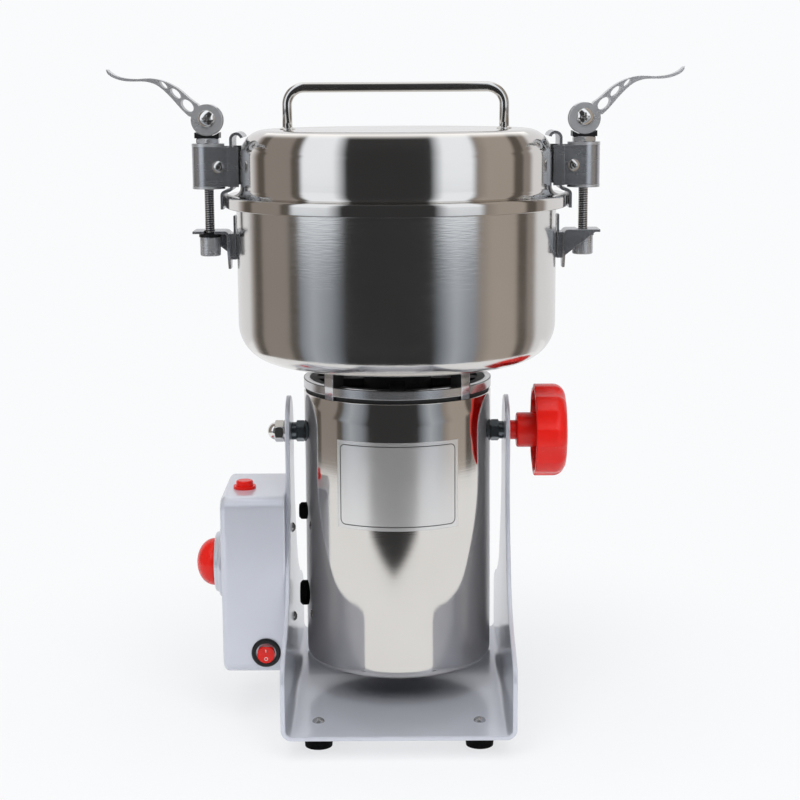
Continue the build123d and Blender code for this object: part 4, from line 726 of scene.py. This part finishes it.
box_low, box_high = box_mm("control_box")
box_corner, box_round, back_ease, back_row, rim_row, face_row, middle_row = 7.0, 4.0, 0.4, 2, 1, 0.8, 20
outline = rectangle(box_low[1:], box_high[1:], box_corner, steps=10)
sweep = np.linspace(0, np.pi / 2, 9)
half_box = (box_high[1] - box_low[1]) / 2
box_back, box_front = box_high[0], box_low[0]
insets = np.concatenate(([half_box, middle_row, back_ease, 0, 0, 0], box_round * (1 - np.cos(sweep)),
                         [box_round + face_row, middle_row, half_box]))
depths = np.concatenate(([box_back] * 3, [box_back - back_ease, box_back - back_row],
                         [box_front + box_round + rim_row], box_front + box_round * (1 - np.sin(sweep)),
                         [box_front] * 3))
show("box_cover", [shrinking(outline, insets, depths)], "control_box")

# %% Timer disc and dome, reset button
disc_low, disc_high = box_mm("timer_plate")
dome_low, dome_high = box_mm("timer_knob")
timer_centre = (0, 0, (disc_low[2] + disc_high[2]) / 2)
disc_radius, disc_back, disc_face = disc_high[1], -disc_high[0], -disc_low[0]
disc_step, step_foot, step_top = 3.0, 3.2, 3.8
disc_ledge = disc_face - disc_step
disc = rounded([(0, disc_back), (disc_radius, disc_back), (disc_radius, disc_ledge),
                (disc_radius - step_foot, disc_ledge), (disc_radius - step_top, disc_face), (0, disc_face)],
               (0, 0.3, 2.2, 0.6, 1.6, 0))
dome_gap, dome_rim, dome_ease = 0.3, 1.0, 0.4
dome_radius, dome_base = dome_high[1], disc_face + dome_gap
dome_turn = np.linspace(0, np.pi / 2, 28)
dome_rise = -dome_low[0] - dome_base - dome_rim
dome = np.stack((dome_radius * np.cos(dome_turn), dome_base + dome_rim + dome_rise * np.sin(dome_turn)), -1)
dome = np.vstack(((0, dome_base), (dome_radius - dome_ease, dome_base), (dome_radius, dome_base + dome_ease),
                  dome))
flip = np.array((-1, 1, 1))
show("timer_disc", [lathe(disc, "x", turns=96) * flip + np.array(timer_centre)], "timer_plate")
show("timer_dome", [lathe(dome, "x", turns=96) * flip + np.array(timer_centre)], "timer_knob")
reset_low, reset_high = box_mm("reset_button")
reset_centre = np.append((reset_low + reset_high)[:2] / 2, 0)
reset_radius = (reset_high[0] - reset_low[0]) / 2
reset = rounded([(0, reset_low[2]), (reset_radius, reset_low[2]), (reset_radius, reset_high[2]),
                 (0, reset_high[2])], (0, 0.3, 1.2, 0))
show("reset_cap", [lathe(reset, centre=reset_centre, turns=64)], "reset_button")
print("control box, timer and reset button are shaped")


# %% [markdown]
# ## The bent stand
# The stand is one painted sheet: a base and two uprights, bent up over a former and cut to a waisted
# outline. A boolean would do it, but the sheet's own run is simpler. A thin section, rounded as paint
# rounds an edge, is carried from the nose of one upright, down it, under the motor and up the other, and
# its width follows the outline.

# %% Outline of an upright
stand_low, stand_high = box_mm("stand_bracket")
sheet, inner_bend, nose_radius, edge_round, corner_round, foot_height = 3.0, 4.0, 24.0, 0.8, 12.0, 57.0
stand_outer, half_depth = stand_high[:2]
base_top = stand_low[2] + sheet
nose_z = stand_high[2] - nose_radius
flank = np.array(((nose_radius, nose_z), (24.9, 144.4), (35.3, 114.0), (51.5, 86.5), (72.8, 73.2),
                  (96.3, 64.6)))
foot_corner = np.array((half_depth, foot_height))


def smooth_through(points, first, last, steps=10):
    """A Hermite curve through points: each span is a cubic whose end slopes are means of the chords there."""
    step = np.diff(points, axis=0)
    length = np.linalg.norm(step, axis=1)[:, None]
    chord = step / length
    inner = (chord[:-1] * length[1:] + chord[1:] * length[:-1]) / (length[1:] + length[:-1])
    slope = np.concatenate(([first], inner, [last]))
    t = np.linspace(0, 1, steps, endpoint=False)[None, :, None]
    start, end, length = points[:-1, None], points[1:, None], length[:, None]
    leave, arrive = slope[:-1, None] * length, slope[1:, None] * length
    curve = (start * (1 + 2 * t) * (1 - t) ** 2 + leave * t * (1 - t) ** 2 + end * t ** 2 * (3 - 2 * t)
             + arrive * t ** 2 * (t - 1))
    return np.concatenate((curve.reshape(-1, 2), points[-1:]))


nose_turn = np.linspace(np.pi / 2, 0, 17)[:-1, None]
nose = np.concatenate((nose_radius * np.cos(nose_turn), nose_z + nose_radius * np.sin(nose_turn)), axis=1)
to_corner = (foot_corner - flank[-1]) / np.linalg.norm(foot_corner - flank[-1])
upright = np.concatenate((nose, smooth_through(flank, (0, -1), to_corner)))
bend_z = base_top + inner_bend
upright = rounded(np.vstack((upright, foot_corner, (half_depth, bend_z))),
                  np.append(np.zeros(len(upright)), (corner_round, 0)))
print("upright outline:", len(upright), "points")

# %% Carry the sheet's section along its run
bend_x = stand_outer - sheet - inner_bend
bend_turn = np.linspace(0, np.pi / 2, 13)[1:]
base_x = bend_x * np.array((0.98, 0.8, 0.6, 0.4, 0.2, 0.0))
level, below = np.ones(len(base_x)), len(bend_turn) + len(base_x)
inner_x = np.concatenate((np.full(len(upright), bend_x + inner_bend), bend_x + inner_bend * np.cos(bend_turn),
                          base_x))
inner_z = np.concatenate((upright[:, 1], bend_z - inner_bend * np.sin(bend_turn), base_top * level))
out_x = np.concatenate((np.ones(len(upright)), np.cos(bend_turn), 0 * level))
out_z = np.concatenate((np.zeros(len(upright)), -np.sin(bend_turn), -level))
width = np.concatenate((upright[:, 0], np.full(below, half_depth)))
steepest, widest_ease = -0.001, 4
lean = np.abs(np.gradient(upright[:, 0]) / np.minimum(np.gradient(upright[:, 1]), steepest))
ease = np.concatenate((edge_round * np.minimum(np.hypot(1, lean), widest_ease), np.full(below, edge_round)))
ease = np.minimum(ease, width)

turn = np.linspace(0, np.pi / 2, 6)
span = np.array((-1, -0.99, -0.9, -0.6, -0.3, 0, 0.3, 0.6, 0.9, 0.99, 1))
flat = np.zeros(len(span))
inside = sheet - edge_round
section = np.concatenate((
    np.stack((span, flat, flat + sheet)),
    np.stack((1 + 0 * turn, np.sin(turn), inside + edge_round * np.cos(turn))),
    np.stack((1 + 0 * turn, np.cos(turn), edge_round * (1 - np.sin(turn)))),
    np.stack((span[::-1], flat, flat)),
    np.stack((0 * turn - 1, -np.sin(turn), edge_round * (1 - np.cos(turn)))),
    np.stack((0 * turn - 1, -np.cos(turn), inside + edge_round * np.sin(turn)))), axis=1)
section = np.concatenate((section, section[:, :1]), axis=1)


def carried_sheet(side):
    """Half of the stand: place + out * depth in X and Z, and share * (width - ease) + bulge * ease in Y."""
    share, bulge, depth = section[:, None]
    y = share * (width - ease)[:, None] + bulge * ease[:, None]
    x = side * (inner_x[:, None] + out_x[:, None] * depth)
    z = inner_z[:, None] + out_z[:, None] * depth
    return np.stack((x, y, z + 0 * y), -1)


show("stand_sheet", [carried_sheet(1), carried_sheet(-1)], "stand_bracket")
print("stand sheet:", len(width), "sections a side")

# %% [markdown]
# ## Threads and screw heads
# The draw rods are threaded where they pass the open gap, and the screws have domed heads with a driver's
# recess. A thread is a cylinder whose radius rises and falls along a helix. A head is a dome with the
# recess sunk in it.


# %% Threads
def thread(start, end, crest, depth, pitch, centre):
    """A threaded length: r = crest - depth * |2 f - 1|, f being the fraction of z / pitch - angle / turn."""
    z = np.arange(start, end, pitch / 10)[:, None]
    angle = np.linspace(0, 2 * np.pi, 49)[None]
    phase = (z / pitch - angle / (2 * np.pi)) % 1
    radius = crest - depth * np.abs(2 * phase - 1)
    radius = np.concatenate((0 * angle, radius, 0 * angle))
    z = np.concatenate((z[:1], z, z[-1:]))
    return polar(radius, angle, z) + np.append(centre, 0)


thread_pitch, thread_depth, thread_crest, thread_lap = 1.5, 0.7, 3.35, 1
sleeve_bottom = box_mm("clamp_sleeves")[0, 2]
for side in ("left", "right"):
    nut = box_mm(side + "_rod_nut")
    run = thread(nut[1, 2] - thread_lap, sleeve_bottom + thread_lap, thread_crest, thread_depth, thread_pitch,
                 nut.mean(axis=0)[:2])
    show(side + "_rod_thread", [run], side + "_draw_rod", bright_steel, keep=True)


# %% Screw heads
def head_grid(radius, height, recess, size, sink, turns=72):
    """A dome h = height * (1 - (r / R)^2)^0.6 with a driver's recess sunk in it, down to h = 0."""
    # Even rows over the recess, then rows that draw together towards the rim
    share = np.concatenate((np.linspace(0, 0.72, 30), np.sin(np.linspace(0.27, 0.5, 14) * np.pi)))
    angle = np.linspace(0, 2 * np.pi, turns + 1)[None]
    u, v = radius * share[:, None] * np.cos(angle), radius * share[:, None] * np.sin(angle)
    dome = height * np.clip(1 - share[:, None] ** 2, 0, 1) ** 0.6
    sunk = np.clip(recess(u, v, size) / recess_slope, 0, 1)
    h = dome - sunk * np.minimum(sink, dome)
    grid = np.stack((u, v, h), -1)
    base = np.stack((u[-1:], v[-1:], 0 * h[-1:]), -1)
    return np.concatenate((grid, base, base * (0, 0, 1)))


def cross(u, v, size):
    """How deep a place lies inside a cross of two bars: bar length 2 * size, width 0.44 * size."""
    bars = [np.minimum(0.22 * size - np.abs(a), size - np.abs(b)) for a, b in ((u, v), (v, u))]
    return np.maximum(*bars)


def hexagon(u, v, size):
    """How deep a place lies inside a hexagon of a given half width across flats."""
    turns = np.radians((0, 60, 120))
    return size - np.max([np.abs(u * np.cos(t) + v * np.sin(t)) for t in turns], axis=0)


def shank(radius, start, end):
    """A plain round shank: a rectangle turned round the axis."""
    return lathe([(0, start), (radius, start), (radius, end), (0, end)], turns=32)


# Each way lays what is drawn along Z on another axis, as rows of a matrix
TO_FRONT = np.array(((1, 0, 0), (0, 0, 1), (0, -1, 0)))
TO_BACK = np.array(((-1, 0, 0), (0, 0, 1), (0, 1, 0)))
TO_RIGHT = np.array(((0, 1, 0), (0, 0, 1), (1, 0, 0)))
TO_LEFT = np.array(((0, -1, 0), (0, 0, 1), (-1, 0, 0)))
TO_TOP = np.eye(3)
recess_slope = 0.25


def pin(middle, start, end, front, back, radius):
    """A pin along Y: a head beyond each end and a shank between them."""
    return [head_grid(*front) @ TO_FRONT + middle + (0, start, 0),
            head_grid(*back) @ TO_BACK + middle + (0, end, 0), shank(radius, start, end) @ TO_BACK + middle]


def screws(seats, head, length, radius, way):
    """Screws of one kind: on each seat a head, and a shank of a given length behind it."""
    return [grid @ way + seat for seat in seats for grid in (head_grid(*head), shank(radius, -length, 0))]


# %% Lever screws, foot screws, strap pins and box screws
# A head: radius, height, recess, the recess's size and its depth
head_height, lever_shank = 3.0, 3.0
for side in ("left", "right"):
    low, high = box_mm(side + "_lever_screw")
    front = ((high[0] - low[0]) / 2, head_height, cross, 2.6, 1.2)
    pieces = pin((low + high) / 2 * (1, 0, 1), low[1] + head_height, high[1] - head_height, front,
                 (4.5, head_height, hexagon, 2.0, 1.5), lever_shank)
    show(side + "_truss_screw", pieces, side + "_lever_screw", chrome)
low, high = box_mm("foot_screws")
radius, height, foot_shank = 4.0, 2.6, 2.0
seats = [np.array((x, y, high[2] - height)) for x in (low[0] + radius, high[0] - radius)
         for y in (low[1] + radius, high[1] - radius)]
pieces = screws(seats, (radius, height, cross, 1.7, 0.5), high[2] - height - low[2], foot_shank, TO_TOP)
show("domed_foot_screws", pieces, "foot_screws", zinc_steel)
low, high = box_mm("strap_pins")
radius, height, pin_shank = 4.2, 2.2, 2.2
head = (radius, height, hexagon, 1.5, 1.5)
middles = [np.array((x, 0, (low[2] + high[2]) / 2)) for x in (low[0] + radius, high[0] - radius)]
pieces = [grid for middle in middles
          for grid in pin(middle, low[1] + height, high[1] - height, head, head, pin_shank)]
show("socket_strap_pins", pieces, "strap_pins", bright_steel)
low, high = box_mm("box_screws")
radius, height, box_shank = 3.5, 2.2, 2.0
seats = [np.array((high[0] - height, (low[1] + high[1]) / 2, z)) for z in (low[2] + radius, high[2] - radius)]
pieces = screws(seats, (radius, height, hexagon, 1.3, 1.4), high[0] - height - low[0], box_shank, TO_RIGHT)
show("socket_box_screws", pieces, "box_screws", bright_steel)
print("threads and screw heads are cut")

# %% [markdown]
# ## Marks on the rocker
# The rocker's two halves carry a bar for on and a ring for off. Each is a thin slab laid on the half it
# belongs to: a ray from the front finds that half, and its normal gives the slab's plane.


# %% Bar and ring
def slab(outline, height):
    """A flat outline raised to a height: rows go from the middle out, up the rim and to the middle again."""
    middle = np.broadcast_to(outline.mean(axis=0), outline.shape)
    rows = np.stack((middle, outline, outline, middle))
    rise = np.array((0, 0, 1, 1))[:, None, None] * height
    return np.concatenate((rows, np.broadcast_to(rise, rows.shape[:2] + (1,))), -1)


paddle_low, paddle_high = box_mm("rocker_paddle")
paddle_middle = (paddle_low + paddle_high) / 2
mark_offset, mark_height, bar_width, bar_length, ring_outer, ring_inner = 2.9, 0.08, 0.55, 2.3, 1.25, 0.8
bar_corner, mark_sunk, ray_start = 0.2, 0.02, 20
bar_half = np.array((bar_width, bar_length)) / 2
bar = slab(rectangle(-bar_half, bar_half, bar_corner), mark_height)
ring = lathe([(ring_inner, 0), (ring_outer, 0), (ring_outer, mark_height), (ring_inner, mark_height),
              (ring_inner, 0)], turns=48)
bpy.context.view_layer.update()
for name, grid, rise in (("rocker_on_bar", bar, mark_offset), ("rocker_off_ring", ring, -mark_offset)):
    start = Vector((paddle_middle[0], paddle_low[1] - ray_start, paddle_middle[2] + rise)) * MM
    found, place, normal, _ = nodes["rocker_paddle"].ray_cast(start, Vector((0, 1, 0)))
    normal = np.array(normal)
    across = np.array((1, 0, 0))
    plane = np.stack((across, np.cross(normal, across), normal))
    show(name, [grid @ plane + np.array(place) / MM - mark_sunk * normal], "rocker_paddle", white_ink,
         keep=True)
    print(name, "found" if found else "missed", np.round(normal, 2))


# %% [markdown]
# ## Nuts and the collar's trim
# A hex nut is a bar with six flats whose corners a lathe tool has taken off at both ends, so its radius is
# the lesser of two limits: the flat's line and the chamfer's cone. The dark cast collar under the bowl
# wears a bright steel ring with four short posts.


# %% Hex nuts
def hex_nut(flats, height, bore, turns=144):
    """r(a, h) is the lesser of flats / 2 / cos(angle from the nearest flat) and the chamfer's cone at h."""
    angle = np.linspace(0, 2 * np.pi, turns + 1)[None]
    flat_line = flats / 2 / np.cos((angle + np.pi / 6) % (np.pi / 3) - np.pi / 6)
    corner = flats / np.sqrt(3) - flats / 2
    slope = np.linspace(0, 1, 7)[:, None]
    limit = flats / 2 + corner * slope
    low = slope * corner * chamfer_slope
    h = np.concatenate((low, height - low[::-1]))
    radius = np.minimum(flat_line, np.concatenate((limit, limit[::-1])))
    face = polar(radius, angle, h)
    hole = lathe([(bore, 0)], turns=turns), lathe([(bore, height)], turns=turns)
    return np.concatenate((hole[0], face, hole[1], hole[0]))


low, high = box_mm("pivot_nuts")
chamfer_slope = 0.58
pivot_flats, pivot_nut_height, pivot_bore = high[2] - low[2], 5.6, 4.1
pivot_seat = high[0] - pivot_nut_height
pieces = [hex_nut(pivot_flats, pivot_nut_height, pivot_bore) @ way + (side * pivot_seat, 0, pivot_z)
          for side, way in ((1, TO_RIGHT), (-1, TO_LEFT))]
show("chamfered_pivot_nuts", pieces, "pivot_nuts")
low, high = box_mm("lock_nuts")
lock_flats, lock_bore = high[1] - low[1], 3.1
clamp_x = high[0] - lock_flats / np.sqrt(3)
nut = hex_nut(lock_flats, high[2] - low[2], lock_bore)
show("chamfered_lock_nuts", [nut + (side * clamp_x, 0, low[2]) for side in (-1, 1)], "lock_nuts")
low, high = box_mm("dome_nut")
dome_flats, dome_hex_height, dome_bore, dome_ball, ball_sunk = high[2] - low[2], 6.0, 4.1, 5.85, 5.0
ball_turn = np.linspace(0, np.pi / 2, 16)
ball_rise = high[0] - low[0] - dome_hex_height
ball = np.stack((dome_ball * np.cos(ball_turn), dome_hex_height + ball_rise * np.sin(ball_turn)), -1)
ball = np.vstack(((0, ball_sunk), (dome_ball, ball_sunk), ball))
pieces = [hex_nut(dome_flats, dome_hex_height, dome_bore), lathe(ball, turns=64)]
show("acorn_nut", [grid @ TO_LEFT + (high[0], 0, pivot_z) for grid in pieces], "dome_nut", chrome)

# %% Collar ring and posts
ring_wall, ring_rise, ring_height, trim_proud, trim_round = 4.0, 2.5, 6.0, 0.06, 0.7
post_width, post_count, post_proud, post_gap, post_round, post_core = 8.5, 4, 0.1, 0.1, 0.8, 2
trim_radius = house_radius + trim_proud
trim_inner, trim_bottom = trim_radius - ring_wall, house_top + ring_rise - trim_proud
trim_top = house_top + ring_rise + ring_height + trim_proud
trim = rectangle((trim_inner, trim_bottom), (trim_radius, trim_top), (0, trim_round, trim_round, 0))


def post_cover(middle_turn):
    """A short post on the ring: a rounded bar section carried straight up, wrapped on the collar's radius."""
    half, outer = post_width / 2, trim_radius + post_proud
    section = rectangle((-half, trim_inner), (half, outer), (0, 0, post_round, post_round))
    side = middle_turn + section[:, 0] / trim_radius
    core_turn, core = np.full(len(section), middle_turn), np.full(len(section), trim_radius - post_core)
    angle = np.stack((core_turn, side, side, core_turn))
    radius = np.stack((core, section[:, 1], section[:, 1], core))
    z = np.repeat((house_top + post_gap, bowl_bottom - post_gap), 2)[:, None]
    return polar(radius, angle, z)


posts = [post_cover(np.pi / post_count * (2 * i + 1)) for i in range(post_count)]
show("collar_trim", [lathe(trim, turns=160)] + posts, "vent_collar", zinc_steel, keep=True)
print("nuts, ring and posts are shaped")

# %% [markdown]
# ## Small hardware with eased edges
# Brackets, straps and levers keep their CAD shape. Real edges are never knife-sharp, though: they were
# deburred, plated or painted. A merged copy of each piece gets a narrow bevel, and that line of light makes
# it real.


# %% Eased copies
def eased(node, edge_mm, angle=32, segments=2):
    """A merged copy of a CAD piece whose edges sharper than an angle get a narrow round."""
    mesh = nodes[node].data.copy()
    mesh.name = node + "_eased"
    merge_and_smooth(mesh, flat_angle=0.5)
    piece = place_piece(mesh, node_finish[node], body_of[node], slot_of[node], node)
    bevel = piece.modifiers.new("eased_edges", "BEVEL")
    bevel.width, bevel.segments, bevel.limit_method = edge_mm * MM, segments, "ANGLE"
    bevel.angle_limit = np.radians(angle)
    even = piece.modifiers.new("flat_faces", "WEIGHTED_NORMAL")
    even.mode, even.weight = "FACE_AREA", 100
    return piece


# How wide the round on the edges of each piece is, in millimetres
easing = {"left_lever": 0.5, "right_lever": 0.5, "clamp_straps": 0.35, "bowl_brackets": 0.4,
          "clamp_sleeves": 0.4, "cam_seats": 0.4, "breaker": 0.4, "switch_body": 0.4, "pivot_washer": 0.3}
for node, edge_mm in easing.items():
    eased(node, edge_mm)
print("eased pieces:", len(easing))
